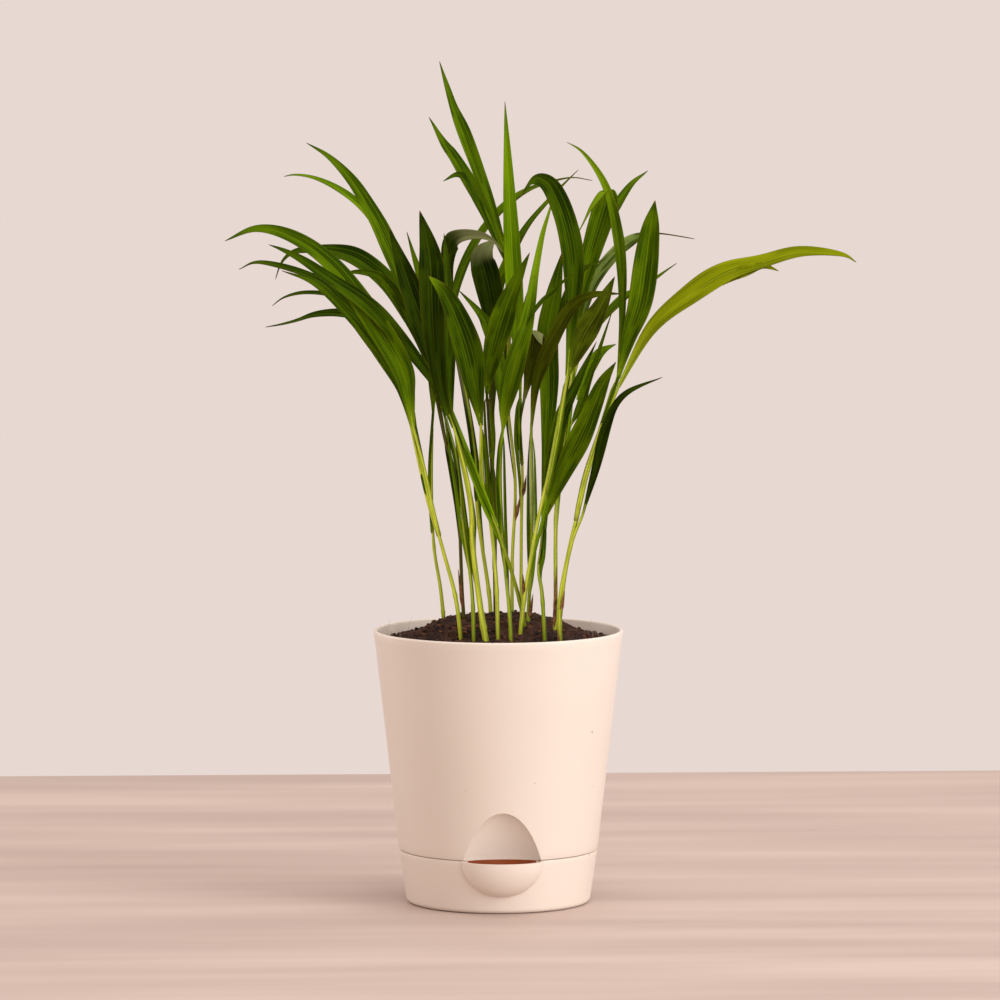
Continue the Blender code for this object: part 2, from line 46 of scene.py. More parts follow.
# The planter, in millimetres, on the axis of its CAD nodes.
RIM_RADIUS = 62.5
RIM_HEIGHT = 137.0
SEAM_RADIUS = 49.8
SEAM_HEIGHT = 26.5
SEAM_GAP = 0.3
SEAM_EDGE = 0.5
FOOT_RADIUS = 46.3
FOOT_FILLET = 2.5
WALL = 2.0
PLUG_GAP = 0.35
FLOOR_HEIGHT = 17.0
WELL_RADIUS = 14.0
WELL_FOOT = 3.6
HOLLOW_CENTRE_Y = -54.0
HOLLOW_AXES = (23.9, 14.0, 24.9)
SPOUT_BACK_Y = -30
LIP_CENTRE_Y = -46.0
LIP_AXES = (20.4, 13.0, 18.0)
LIP_WALL = 1.3
DRAIN_HOLES = 8
DRAIN_RADIUS = 2.5
DRAIN_CIRCLE = 30.0
ROUND_SIDES = 160
HELPER_SIDES = 96

# The soil's crown, as (distance from the axis, height) from its edge inwards.
SOIL_EDGE_HEIGHT = 131.0
SOIL_CROWN = [(50, 133.3), (40, 136.3), (32, 140.3), (25, 142.6), (12, 143.7), (0, 144.0)]

# How the soil is drawn: sides, step between rings, and the band at its edge that stays calm.
SOIL_SIDES = 200
SOIL_STEP = 0.8
CALM_HEIGHT = 2
CALM_WIDTH = 3
CRUMB_REACH = 58.5
FIBRE_COUNT = 170
FIBRE_REACH = 57
FIBRE_STEP = 1.5
HAIRS_A_SIDE = 9

# The camera, in metres: it stands as far off as a long studio lens does.
CAMERA_LENS = 238.57
CAMERA_PLACE = (0, -3.3, 0.502)
CAMERA_AIM = (0.00085, 0, 0.202)

# The clump stands a little turned from the lip, and PLANT_LIFT above the heights in its table.
PLANT_TURN = math.radians(-2.5)
PLANT_LIFT = 2.0
VIEW = Vector((0.0, 1.0, 0.0))
PLANT_PLACE = Matrix.Rotation(PLANT_TURN, 4, "Z") @ Matrix.Translation((0, 0, PLANT_LIFT))

# Leaflet blades: rows along and strips across, and the shape of their outline and fold.
BLADE_ROWS = 40
BLADE_STRIPS = 12
BLADE_FOLD = math.radians(20)
BLADE_PLEAT = 0.014
BLADE_FOOT = 0.16
BLADE_TIP = 0.02
BLADE_TAPER = 1.6
BLADE_RISE = 1.35
BLADE_THICKNESS = 0.32
BLADE_RIPPLE = 0.16
BLADE_WAVES = 2.6
WIDEST_SHARE = 0.42
WIDEST_SHARE_OF = {
    "02a": 0.34, "05a": 0.62, "06a": 0.45, "08a": 0.5, "08c": 0.55, "09a": 0.26, "11a": 0.55, "11b": 0.6,
    "14c": 0.8, "15c": 0.5, "16b": 0.6, "16c": 0.35,
}
LONG_TAPER = 0.75
LONG_TAPERED = {0.26, 0.45}
LATE_RISE = 2.6
LATE_RISING = {0.8}
# Leaflets for looks only, which no CAD node stands for.
LOOKS_ONLY = {"04b", "05b", "09c", "11c", "12c", "15f", "16e"}

# Stems and the stalks of leaflets: rows along them, their radii and how a joint swells.
STEM_ROWS = 56
STEM_SLIMNESS = 0.86
JOINT_SWELL = 0.22
JOINT_LENGTH = 0.012
STALK_ROWS = 24
STALK_RADIUS = 0.95
STALK_TAPER = 0.35
STALK_GAP = 1.1
STALK_STARTS = (26, 17, 9)
TUBE_END_RADIUS = 0.02
GREEN_SHEATH_WIDTH = 1.8
DRY_SHEATH_WIDTH = 1.9

# Each shoot: the radii of its stem at foot and top, the route of the stem, and its leaflets as
# (width, (turn at foot, turn at tip) in degrees, route). A turn of 0 shows the blade to the front.
# A separate program worked out 17 of the leaflet routes from places marked by eye: 02d, 03a, 03b,
# 04a, 04b, 05b, 06a, 08a, 09c, 11c, 12c, 15c, 15f, 16a, 16e, 17b and 17c. Some of them hold more
# points than their shapes need. The other routes were chosen one by one.
SHOOTS = {
    "01": {
        "radii": (1.2, 0.6),
        "stem": [(-26.5, 22, 126), (-29, 23, 152), (-32.5, 24, 175), (-33.5, 23, 205), (-33, 21, 240)],
        "a": (9, (20, 30), [(-32.8, 20, 242), (-33.5, 20, 270), (-36.5, 22, 298), (-46, 27, 333)]),
    },
    "02": {
        "radii": (1.3, 0.8),
        "stem": [(-17.5, -34, 124), (-21, -37, 154), (-27.5, -38, 179), (-35.3, -38, 208), (-41, -38, 237)],
        "a": (12.5, (5, 45), [
            (-42, -39.4, 240), (-44.5, -43, 256), (-48.5, -45, 271), (-65, -48, 298), (-81, -51, 319.5),
            (-100, -53, 333.5), (-118, -56, 338.5), (-134, -58, 332.5),
        ]),
        "b": (7.5, (25, 50), [
            (-41, -35.4, 240), (-46.5, -32, 258), (-57, -29, 272), (-81, -23, 304), (-94, -20, 313),
            (-118, -14, 319.5), (-129, -12, 316),
        ]),
        "c": (8.5, (20, 45), [
            (-43, -36.8, 239.5), (-46, -36.5, 252), (-50.5, -36, 264), (-60, -36, 277), (-73, -37, 293.5),
            (-90, -38, 310), (-107, -38, 317),
        ]),
        "d": (6, (25, 45), [
            (-42.5, -27, 250), (-46.6, -26, 263.4), (-52.2, -22, 275.6), (-58.4, -19, 286.1),
            (-66.7, -16, 294.2), (-73.6, -14, 299.6), (-80.6, -12, 302.6), (-88.9, -10, 303.8),
            (-98.6, -8, 303.7), (-107, -6, 301.5), (-112.7, -5, 297.4),
        ]),
    },
    "03": {
        "radii": (1.2, 0.7),
        "stem": [(-16, 0, 126), (-18, -1, 152), (-19.5, -5, 190), (-22, -11, 215), (-26.3, -19, 233)],
        "a": (9, (25, 45), [
            (-26.9, -20.6, 235.5), (-31.5, -26, 257.9), (-36.9, -32, 268), (-44.3, -40, 278.2),
            (-52.5, -46, 288.2), (-60.6, -50, 297.3), (-70, -54, 305.5), (-79.5, -57, 311.8),
            (-88.9, -60, 318.4), (-96.9, -63, 324), (-105, -66, 328.5), (-112.2, -68, 331.4),
        ]),
        "b": (7, (20, 45), [
            (-27.4, -17.5, 235.5), (-32.3, -16, 257.9), (-39.2, -15, 268.9), (-46.1, -14, 276.4),
            (-54.4, -12, 282.9), (-62.7, -10, 288.2), (-71, -7, 291.9), (-80.8, -3, 293.4),
            (-92, 0, 292.5), (-100.4, 2, 289.6), (-108.7, 4, 287.4), (-116.6, 6, 286.2),
        ]),
    },
    "04": {
        "radii": (1.2, 0.7),
        "stem": [(-12, -40, 124), (-13, -39, 158), (-17.5, -36, 193), (-20, -27, 220), (-26.5, -4, 243)],
        "a": (11.5, (10, 30), [
            (-27.4, -2, 245), (-33.8, 2, 267), (-39.4, 4, 282.1), (-46.3, 6, 295.2), (-53.3, 9, 305.5),
            (-61.7, 13, 313.6), (-71.5, 18, 320), (-81.4, 24, 322.7), (-92.7, 30, 323.2),
            (-102.6, 34, 321.6), (-109, 37, 316.4), (-112.5, 39, 307.9),
        ]),
        "b": (7, (0, -20), [
            (-27.4, -5, 248), (-33.7, -10, 266.4), (-39.2, -12, 281.8), (-44.7, -14, 293.7),
            (-50.9, -15, 304.1), (-56.4, -15, 310.7), (-62.6, -14, 314.3), (-70.9, -12, 315),
            (-78.9, -10, 313.5),
        ]),
    },
    "05": {
        "radii": (1.9, 1.2),
        "stem": [(-4.5, -41, 124), (-8.5, -40, 148), (-12.5, -39, 179), (-14, -39, 203), (-21, -39, 237)],
        "a": (14, (0, 10), [
            (-21.9, -39.4, 239.5), (-28.5, -43, 260), (-32, -48, 288), (-33, -52, 316), (-34.5, -54, 330),
            (-38.5, -57, 347.5),
        ]),
        "b": (7, (10, 10), [
            (-22.9, -32, 240.2), (-23.9, -31, 262.4), (-24.4, -30, 282.2), (-24.9, -30, 302),
            (-25.8, -30, 320.8), (-26.8, -30, 335.1),
        ]),
    },
    "06": {
        "radii": (1.3, 0.8),
        "stem": [(-3.5, 16, 127), (-4.5, 16, 150), (-10, 14, 189), (-14, 10, 234), (-22.5, 8, 280)],
        "a": (10.5, (0, -80), [
            (-22.8, 7.2, 282), (-24.2, 6, 308.4), (-24.8, 8, 317.3), (-24, 9, 324.2), (-21.6, 8, 329.3),
            (-17.6, 4, 331.7), (-12, -1, 332.6), (-6.5, -5, 331.9), (-1.6, -9, 329.2), (2.4, -13, 324.1),
        ]),
        "b": (7, (-10, -60), [
            (-22.6, 9.6, 282), (-21, 26, 304), (-9, 43, 330), (10, 53, 349), (34, 60, 358), (48, 64, 357),
        ]),
    },
    "07": {
        "radii": (1.2, 0.8),
        "stem": [(0, -39, 124), (-1, -37, 163), (-4.5, -33, 197), (-7.5, -32, 212), (-8.3, -32, 238)],
        "a": (15, (5, 30), [
            (-8.6, -33, 240), (-11.5, -43, 259), (-15, -54, 278), (-20.8, -66, 296), (-27, -75, 309),
            (-34, -84, 317),
        ]),
    },
    "08": {
        "radii": (1, 0.7),
        "stem": [
            (-1.5, 27, 127), (-2, 26, 165), (-2.7, 22, 200), (-4, 12, 225), (-5, 0, 242), (-5.5, -10, 252),
        ],
        "a": (15, (5, 0), [
            (-4.3, 14, 229), (-1.3, 22, 276.8), (-2.4, 24, 287.1), (-3.6, 25, 297.5), (-5.4, 26, 307.3),
            (-7.4, 27, 314.9), (-8.3, 27, 319.4), (-6.9, 29, 323.2), (-4.5, 32, 325.8), (-1.9, 35, 327.9),
        ]),
        "b": (6.5, (-10, -35), [
            (-2, 14.2, 229), (-3.3, 28, 255), (-1.5, 38, 282), (1, 46, 306), (13, 58, 331), (26, 69, 347),
            (41, 80, 362),
        ]),
        "c": (13, (-5, -15), [
            (-5.7, -11.6, 254.3), (-4.3, -19, 266), (-1.5, -25, 280), (3, -30, 295), (7.5, -34, 308),
            (15.5, -40, 326),
        ]),
    },
    "09": {
        "radii": (1.2, 0.8),
        "stem": [(6.5, -41, 124), (5.5, -39, 148), (2.5, -30, 179), (1, -28, 212), (1.8, -28, 236)],
        "a": (11.5, (0, -35), [
            (2.4, -29.4, 238), (3.5, -34, 250), (7, -39, 265.5), (11, -42, 280.5), (14, -40, 290),
            (16.3, -31, 302), (18.3, -20, 315), (21.8, -8, 332), (25.3, 2, 343.5), (27.5, 8, 352),
        ]),
        "b": (8, (10, 10), [
            (2.2, -26.8, 238), (1.4, -15, 256), (-1.5, -1, 275), (-5.5, 2, 287), (-10, 4, 294),
            (-20, 6, 305),
        ]),
        "c": (2.4, (0, 0), [
            (12.6, -46, 288.2), (15.6, -48, 294.7), (21, -48, 302.1), (27.4, -48, 308), (33.3, -48, 313.4),
            (38.2, -48, 316.4),
        ]),
    },
    "10": {
        "radii": (1.1, 0.6),
        "stem": [(7, 13, 127), (7, 13, 168), (8.5, 12, 208), (4.5, 13, 252), (6, 14, 285), (5, 15, 318)],
        "a": (8, (15, 40), [
            (5, 15.8, 320.5), (-5, 18, 349), (-17, 21, 381), (-24, 23, 399), (-29.5, 25, 418.5),
        ]),
        "b": (8, (20, 30), [(3.6, 18, 318), (-3, 25, 337), (-20, 32, 366), (-27, 36, 376), (-35, 42, 390)]),
        "c": (5, (30, 60), [
            (3.6, 12.6, 318), (-8.5, 4, 344), (-16, -3, 359), (-20.5, -8, 363), (-27.5, -16, 360),
        ]),
    },
    "11": {
        "radii": (1, 0.7),
        "stem": [(11.5, 5, 127), (11.5, 5, 180), (12, 3, 214), (10.7, 1, 235), (11.3, 0, 252)],
        "a": (9.5, (0, 5), [(11, 0.6, 254), (10, 2, 277), (8, 4, 305), (5.6, 7, 350), (3.3, 10, 399)]),
        "b": (12, (0, 0), [
            (13, -2.4, 251), (15.5, -10, 264), (17, -18, 277), (18, -24, 285), (19.5, -31, 286.5),
            (21.5, -35, 280),
        ]),
        "c": (5, (0, 0), [
            (12.2, -22, 265.8), (12.7, -22, 279.2), (14.2, -22, 296.5), (15.7, -22, 305.5),
            (17.7, -22, 313.4),
        ]),
    },
    "12": {
        "radii": (1.3, 0.8),
        "stem": [(9.5, -33, 124), (13.5, -34, 158), (19.5, -33, 192), (25.5, -30, 219), (33.3, -26, 262)],
        "a": (12.5, (5, 35), [
            (34, -27.4, 264), (36.3, -33, 297), (36.5, -38, 322.5), (32, -46, 344), (24.5, -58, 360.5),
            (16.5, -68, 363.3), (10.8, -75, 355.5),
        ]),
        "b": (13, (0, -15), [(34.4, -25, 264), (41, -20, 281), (49.5, -12, 295), (58, -3, 312)]),
        "c": (5, (-10, -40), [
            (28.7, -16, 276.3), (31.6, -16, 293.7), (36.1, -17, 307.2), (42, -18, 316.1),
            (51.4, -18, 321.1),
        ]),
    },
    "13": {
        "radii": (1.2, 0.8),
        "stem": [(14.5, -18, 127), (15, -18, 146), (16, -18, 165), (17, -17, 200), (16.3, -17.5, 235)],
        "a": (8, (-10, -45), [
            (16.4, -19.2, 237), (19, -27, 261), (26, -40, 280), (35, -50, 298), (45.5, -57, 306),
            (61, -62, 307),
        ]),
    },
    "14": {
        "radii": (1.2, 0.8),
        "stem": [(23.5, -37, 124), (21.8, -36, 155), (20, -33, 168), (21.5, -29, 179), (22.5, -25, 192)],
        "a": (12, (0, -20), [
            (23.4, -26.4, 194), (33, -39, 219), (43, -51, 241), (51, -60, 262), (57.5, -68, 274),
        ]),
        "b": (8, (0, -10), [
            (24, -24.4, 194.5), (27, -20, 217), (31, -16, 241), (38.5, -11, 258), (49, -6, 280),
        ]),
        "c": (12, (-5, -5), [
            (22, -23.2, 194.5), (22.8, -16, 212), (24.3, -8, 232), (25.5, 0, 258), (25, 3, 285),
            (32, 8, 324),
        ]),
    },
    "15": {
        "radii": (1.4, 0.8),
        "stem": [(27.5, -18, 127), (28.5, -18, 146), (29, -13, 199), (34, -4, 240), (38, 3, 275)],
        "a": (10, (-10, -60), [
            (39, 4, 277), (46, 14, 304), (57, 24, 319), (68.5, 33, 328), (80, 40, 331), (99.5, 50, 328),
        ]),
        "b": (7.5, (-15, -25), [
            (37.8, 6.2, 277), (43, 24, 304), (51, 38, 329), (66, 58, 353), (76, 66, 362),
        ]),
        "c": (13, (-5, 15), [
            (37.6, 1, 277), (39.3, 0.5, 290.1), (41.2, 0, 303.2), (44.4, 0, 317.1), (48.2, -1, 331.1),
            (51.6, -2, 342.2), (53.6, -4, 350.2), (52.5, -8, 355), (49.5, -12, 354.3), (46, -15, 348.7),
            (43, -17, 341.9), (39, -19, 333.6),
        ]),
        "d": (6, (-40, -50), [(39.4, 2.6, 268), (49, 9, 285), (62, 16, 299), (74, 22, 306), (90, 30, 317)]),
        "e": (5, (-20, -20), [(35.8, -3.8, 237), (41, -2, 247), (45, -1, 259), (57, 1, 295)]),
        "f": (6.5, (0, -20), [
            (39.4, 6, 249.7), (42.9, 8, 259.6), (48.9, 8, 270.6), (52.9, 8, 274.6), (58.9, 8, 277.6),
        ]),
    },
    "16": {
        "radii": (1.4, 0.9),
        "stem": [
            (31, -36, 124), (30.5, -36, 152), (35.5, -34, 180), (39.3, -32, 196), (43.2, -30, 214),
            (57.5, -25, 261),
        ],
        "a": (6, (-20, -20), [
            (59, -24.6, 263), (60.3, -24, 276.8), (61.5, -24, 290.7), (61.7, -23, 304.5),
            (61.4, -22, 316.4), (60.3, -20, 329.1), (58.3, -18, 340.9), (56.5, -16, 348.8),
            (54.4, -14, 355.1), (51.4, -12, 361.5), (46.8, -11, 368.6), (40.8, -10, 375.3),
            (33.8, -9, 379.2),
        ]),
        "b": (13.5, (0, -5), [
            (59.4, -27, 263), (65, -33, 285), (70.5, -39, 304), (74.5, -43, 335), (77, -47, 352),
        ]),
        "c": (12, (-5, -45), [
            (59.4, -22.4, 258), (76, -16, 287), (96, -10, 303.5), (113, -5, 313.5), (131, 0, 318.5),
            (150, 4, 323.5), (171, 8, 322), (179, 9, 318.5),
        ]),
        "d": (6, (-10, -50), [
            (41.5, -33.5, 195), (48, -39, 218), (54, -43, 241), (62, -46, 256), (81, -46, 265),
        ]),
        "e": (6, (0, -20), [
            (111.4, -5, 307.9), (117.9, -4, 312.4), (124.4, -3, 315.3), (131.9, -1, 317.2),
            (139.9, 0, 314.6),
        ]),
    },
    "17": {
        "radii": (1.2, 0.8),
        "stem": [(15.5, -24, 126), (10, -31, 155), (0.8, -44, 186), (-7.5, -40, 207), (-28, -26, 258)],
        "a": (14, (5, 10), [(-29, -27, 260), (-36, -30, 286), (-44.5, -31, 311), (-54, -32, 338)]),
        "b": (9.5, (10, 20), [
            (-28.4, -23.6, 260), (-40.5, -20, 289.2), (-46.7, -16, 308.3), (-52.9, -12, 324),
            (-59.2, -8, 337.6), (-66.2, -4, 349.4), (-73.8, 0, 360.5), (-84.3, 6, 371.1), (-96, 12, 378.1),
        ]),
        "c": (5, (20, 30), [
            (-29.2, -22, 262), (-40.3, -14, 290.2), (-47.5, -8, 310.6), (-53.4, -3, 324.2),
            (-58.7, 0, 333.4), (-63.5, 3, 340.8), (-69.8, 6, 347.5), (-76.8, 8, 353), (-85.1, 10, 357.8),
            (-93.5, 12, 360.9), (-101.9, 14, 361.9), (-107.4, 16, 361),
        ]),
    },
}


# ---------------------------------------------------------------- modelling helpers


def deselect():
    bpy.ops.object.select_all(action="DESELECT")


def edit(piece):
    """Makes the piece the one that edit mode works on."""
    deselect()
    piece.select_set(True)
    bpy.context.view_layer.objects.active = piece
    bpy.ops.object.mode_set(mode="EDIT")


def pick(piece, test):
    """Selects, in edit mode, only the points of the piece that pass the test."""
    bpy.ops.object.mode_set(mode="OBJECT")
    mesh = piece.data
    mesh.polygons.foreach_set("select", [False] * len(mesh.polygons))
    mesh.edges.foreach_set("select", [False] * len(mesh.edges))
    mesh.vertices.foreach_set("select", [test(point.co) for point in mesh.vertices])
    bpy.ops.object.mode_set(mode="EDIT")


def close_up(piece, merge=0.0002 * MM):
    """Merges doubled points and turns every face outwards."""
    edit(piece)
    bpy.ops.mesh.select_all(action="SELECT")
    bpy.ops.mesh.remove_doubles(threshold=merge)
    bpy.ops.mesh.normals_make_consistent(inside=False)
    bpy.ops.object.mode_set(mode="OBJECT")


def change(piece, kind, **settings):
    """Adds a modifier to the piece and applies it."""
    deselect()
    piece.select_set(True)
    bpy.context.view_layer.objects.active = piece
    modifier = piece.modifiers.new(kind.lower(), kind)
    for name, value in settings.items():
        setattr(modifier, name, value)
    bpy.ops.object.modifier_apply(modifier=modifier.name)


def cut(piece, tool, operation):
    """Joins a helper solid to the piece, or cuts it away, and removes the helper."""
    change(piece, "BOOLEAN", operation=operation, solver="EXACT", object=tool)
    bpy.data.objects.remove(tool, do_unlink=True)


def smooth(piece, degrees=35):
    deselect()
    piece.select_set(True)
    bpy.context.view_layer.objects.active = piece
    bpy.ops.object.shade_smooth_by_angle(angle=math.radians(degrees))


def copy_of(original, name):
    """A copy of a piece with its own mesh."""
    made = original.copy()
    made.data = original.data.copy()
    made.name = name
    bpy.context.scene.collection.objects.link(made)
    return made


def joined(pieces, name):
    deselect()
    for piece in pieces:
        piece.select_set(True)
    bpy.context.view_layer.objects.active = pieces[0]
    bpy.ops.object.join()
    made = bpy.context.active_object
    made.name = name
    return made


def coat(piece, finishes):
    """Gives the piece these materials in place of any that it had."""
    piece.data.materials.clear()
    for finish in finishes:
        piece.data.materials.append(finish)


def keep(piece, slot, finishes, *nodes):
    """Attaches a finished piece to its body and hides the CAD nodes it stands for.

    It also gets its materials, unless it has them already and finishes is None. The slot is not used.
    """
    if finishes:
        coat(piece, finishes)
    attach(piece, BODY)
    if nodes:
        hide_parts(*nodes)


# ---------------------------------------------------------------- finishes


class Nodes:
    """A new material's node tree, with short calls that add and link its nodes."""

    def __init__(self, name, coordinates="Object"):
        self.finish = bpy.data.materials.new(name)
        self.finish.use_nodes = True
        self.tree = self.finish.node_tree
        self.shader = self.tree.nodes["Principled BSDF"]
        self.place = self.add("ShaderNodeTexCoord").outputs[coordinates]

    def add(self, kind, **settings):
        node = self.tree.nodes.new(kind)
        for name, value in settings.items():
            setattr(node, name, value)
        return node

    def link(self, output, target):
        self.tree.links.new(output, target)

    def stretched(self, scale):
        """The coordinates, scaled along each axis."""
        mapping = self.add("ShaderNodeMapping")
        mapping.inputs["Scale"].default_value = scale
        self.link(self.place, mapping.inputs["Vector"])
        return mapping.outputs["Vector"]

    def noise(self, scale, detail=3.0, roughness=0.55, stretch=None):
        texture = self.add("ShaderNodeTexNoise")
        texture.inputs["Scale"].default_value = scale
        texture.inputs["Detail"].default_value = detail
        texture.inputs["Roughness"].default_value = roughness
        self.link(self.stretched(stretch) if stretch else self.place, texture.inputs["Vector"])
        return texture.outputs["Fac"]

    def ramp(self, value, stops):
        """A colour ramp through (position, colour) stops."""
        node = self.add("ShaderNodeValToRGB")
        elements = node.color_ramp.elements
        while len(elements) < len(stops):
            elements.new(0.5)
        for element, (position, colour) in zip(elements, stops):
            element.position = position
            element.color = (*colour, 1.0)
        self.link(value, node.inputs["Fac"])
        return node.outputs["Color"]

    def mask(self, value, low, high):
        """0 at low, 1 at high and smooth between."""
        node = self.add("ShaderNodeMapRange", interpolation_type="SMOOTHSTEP")
        node.inputs["From Min"].default_value = low
        node.inputs["From Max"].default_value = high
        self.link(value, node.inputs["Value"])
        return node.outputs["Result"]

    def maths(self, operation, first, second=0.5):
        node = self.add("ShaderNodeMath", operation=operation)
        for socket, value in zip(node.inputs, (first, second)):
            if isinstance(value, (int, float)):
                socket.default_value = value
            else:
                self.link(value, socket)
        return node.outputs["Value"]

    def mix(self, share, first, second):
        """Two colours mixed by a share from 0 to 1."""
        node = self.add("ShaderNodeMix", data_type="RGBA")
        factor, one, other = node.inputs[0], node.inputs[6], node.inputs[7]
        for socket, value in ((factor, share), (one, first), (other, second)):
            if isinstance(value, tuple):
                socket.default_value = (*value, 1.0)
            elif isinstance(value, float):
                socket.default_value = value
            else:
                self.link(value, socket)
        return node.outputs[2]

    def axes(self):
        split = self.add("ShaderNodeSeparateXYZ")
        self.link(self.place, split.inputs["Vector"])
        return split.outputs

    def done(self, colour, roughness, bump=None, depth=0.0, **constants):
        """Links the colour, the roughness and the bump, and sets the shader's constant sockets."""
        self.link(colour, self.shader.inputs["Base Color"])
        if isinstance(roughness, float):
            self.shader.inputs["Roughness"].default_value = roughness
        else:
            self.link(roughness, self.shader.inputs["Roughness"])
        if bump is not None:
            node = self.add("ShaderNodeBump")
            node.inputs["Strength"].default_value = 1.0
            node.inputs["Distance"].default_value = depth
            self.link(bump, node.inputs["Height"])
            self.link(node.outputs["Normal"], self.shader.inputs["Normal"])
        for name, value in constants.items():
            self.shader.inputs[name.replace("_", " ")].default_value = value
        return self.finish


def moulded_plastic():
    """Warm beige moulded plastic: faint mottling, tiny dark specks and a fine satin grain."""
    nodes = Nodes("beige_plastic")
    mottled = nodes.ramp(nodes.noise(9, 2), [(0.3, (0.745, 0.642, 0.557)), (0.7, (0.785, 0.680, 0.595))])
    specks = nodes.mask(nodes.noise(300, 1), 0.79, 0.82)
    colour = nodes.mix(specks, mottled, (0.50, 0.36, 0.27))
    roughness = nodes.mask(nodes.noise(60, 4), -0.9, 2.1)
    return nodes.done(colour, roughness, nodes.noise(900, 2), 0.00004, Coat_Weight=0.12, Coat_Roughness=0.25)


def spout_painted_shade():
    """The plastic down in the filling spout: dark orange-brown painted shade, warmed like light bounced
    under the overhang.
    """
    nodes = Nodes("spout_painted_shade")
    colour = nodes.ramp(nodes.noise(45, 3), [(0.3, (0.22, 0.040, 0.005)), (0.7, (0.34, 0.075, 0.012))])
    return nodes.done(colour, 0.5, nodes.noise(400, 3), 0.00005)


def loose_soil(name, dark, middle, warm):
    """Potting mix: near-black peat with warm brown coir specks."""
    nodes = Nodes(name)
    grains = nodes.ramp(nodes.noise(650, 5, 0.65), [(0.36, dark), (0.52, middle), (0.68, warm)])
    patches = nodes.noise(70, 3)
    colour = nodes.mix(nodes.mask(patches, 0.42, 0.62), grains, nodes.mix(0.45, grains, warm))
    return nodes.done(colour, 0.92, nodes.noise(1400, 4, 0.7), 0.0006, Specular_IOR_Level=0.25)


def fibre(name, dark, light):
    """Dry coir hair or sheath: streaky straw colour."""
    nodes = Nodes(name)
    colour = nodes.ramp(nodes.noise(380, 3), [(0.35, dark), (0.65, light)])
    return nodes.done(colour, 0.75, nodes.noise(1500, 2), 0.00005, Specular_IOR_Level=0.3)


def stalk(name, low, middle, high, edge):
    """A stem: colour that changes from foot to top, fine streaks along it, brownish flecks and one side
    painted darker as shade.
    """
    nodes = Nodes(name, "UV")
    axes = nodes.axes()
    along, round_it = axes["X"], axes["Y"]
    ground = nodes.ramp(along, [(0.0, low), (0.14, middle), (0.62, middle), (1.0, high)])
    streaks = nodes.noise(1.0, 4, 0.6, stretch=(9, 16, 1))
    streaked = nodes.mix(nodes.mask(streaks, 0.35, 0.75), ground, nodes.mix(0.6, ground, edge))
    # Painted shade: one fixed side of every stem is mixed towards the dark edge colour, which also colours
    # the streaks.
    shaded_side = nodes.maths("ABSOLUTE", nodes.maths("SUBTRACT", round_it, 0.5))
    streaked = nodes.mix(nodes.mask(shaded_side, 0.30, 0.12), streaked, nodes.mix(0.75, streaked, edge))
    flecks = nodes.mask(nodes.noise(1.0, 2, 0.5, stretch=(70, 9, 1)), 0.66, 0.74)
    colour = nodes.mix(nodes.maths("MULTIPLY", flecks, 0.7), streaked, (0.085, 0.035, 0.012))
    roughness = nodes.mask(streaks, -0.4, 2.2)
    return nodes.done(colour, roughness, streaks, 0.00018, Specular_IOR_Level=0.1)


def blade(name, deep, fresh, rib, end=None, end_start=1.0):
    """A leaflet's face: parallel veins, a paler midrib and foot, and a dry tip and edge."""
    nodes = Nodes(name, "UV")
    axes = nodes.axes()
    along, across = axes["X"], axes["Y"]
    off_rib = nodes.maths("ABSOLUTE", nodes.maths("SUBTRACT", across, 0.5))
    veins = nodes.noise(1.0, 5, 0.62, stretch=(1.3, 22, 1))
    clouds = nodes.noise(1.0, 2, 0.5, stretch=(4, 1.6, 1))
    ground = nodes.mix(nodes.mask(clouds, 0.42, 0.62), deep, nodes.mix(0.48, deep, fresh))
    veined = nodes.mix(nodes.mask(veins, 0.46, 0.68), ground, fresh)
    if end:
        ended = nodes.mix(nodes.mask(veins, 0.4, 0.7), nodes.mix(0.35, end, deep), end)
        veined = nodes.mix(nodes.mask(along, end_start - 0.06, end_start + 0.14), veined, ended)
    midrib = nodes.maths("MULTIPLY", nodes.mask(off_rib, 0.04, 0.005), 0.45)
    ribbed = nodes.mix(midrib, veined, rib)
    footed = nodes.mix(nodes.mask(along, 0.16, 0.0), ribbed, rib)
    dried = nodes.mix(nodes.mask(along, 0.975, 0.995), footed, (0.16, 0.07, 0.02))
    colour = nodes.mix(nodes.mask(off_rib, 0.475, 0.5), dried, (0.11, 0.055, 0.010))
    roughness = nodes.mask(veins, -1.2, 1.6)
    return nodes.done(colour, roughness, veins, 0.00022, Specular_IOR_Level=0.02)


def sheet_finish(name, low, high, scale, roughness):
    """A plain studio surface with a breath of unevenness."""
    nodes = Nodes(name)
    colour = nodes.ramp(nodes.noise(scale, 2, stretch=(0.35, 3.0, 1)), [(0.35, low), (0.65, high)])
    return nodes.done(colour, roughness)


# ---------------------------------------------------------------- planter


def shell_radius(height):
    """Outside radius of the shell."""
    slope = (RIM_RADIUS - SEAM_RADIUS) / (RIM_HEIGHT - SEAM_HEIGHT)
    return SEAM_RADIUS + slope * (height - SEAM_HEIGHT)


def tray_radius(height):
    """Outside radius of the tray."""
    slope = (SEAM_RADIUS - FOOT_RADIUS) / (SEAM_HEIGHT - FOOT_FILLET)
    return FOOT_RADIUS + slope * (height - FOOT_FILLET)


def plug_radius(height):
    """Outside radius of the part of the shell that sits inside the tray."""
    return tray_radius(height) - WALL - PLUG_GAP


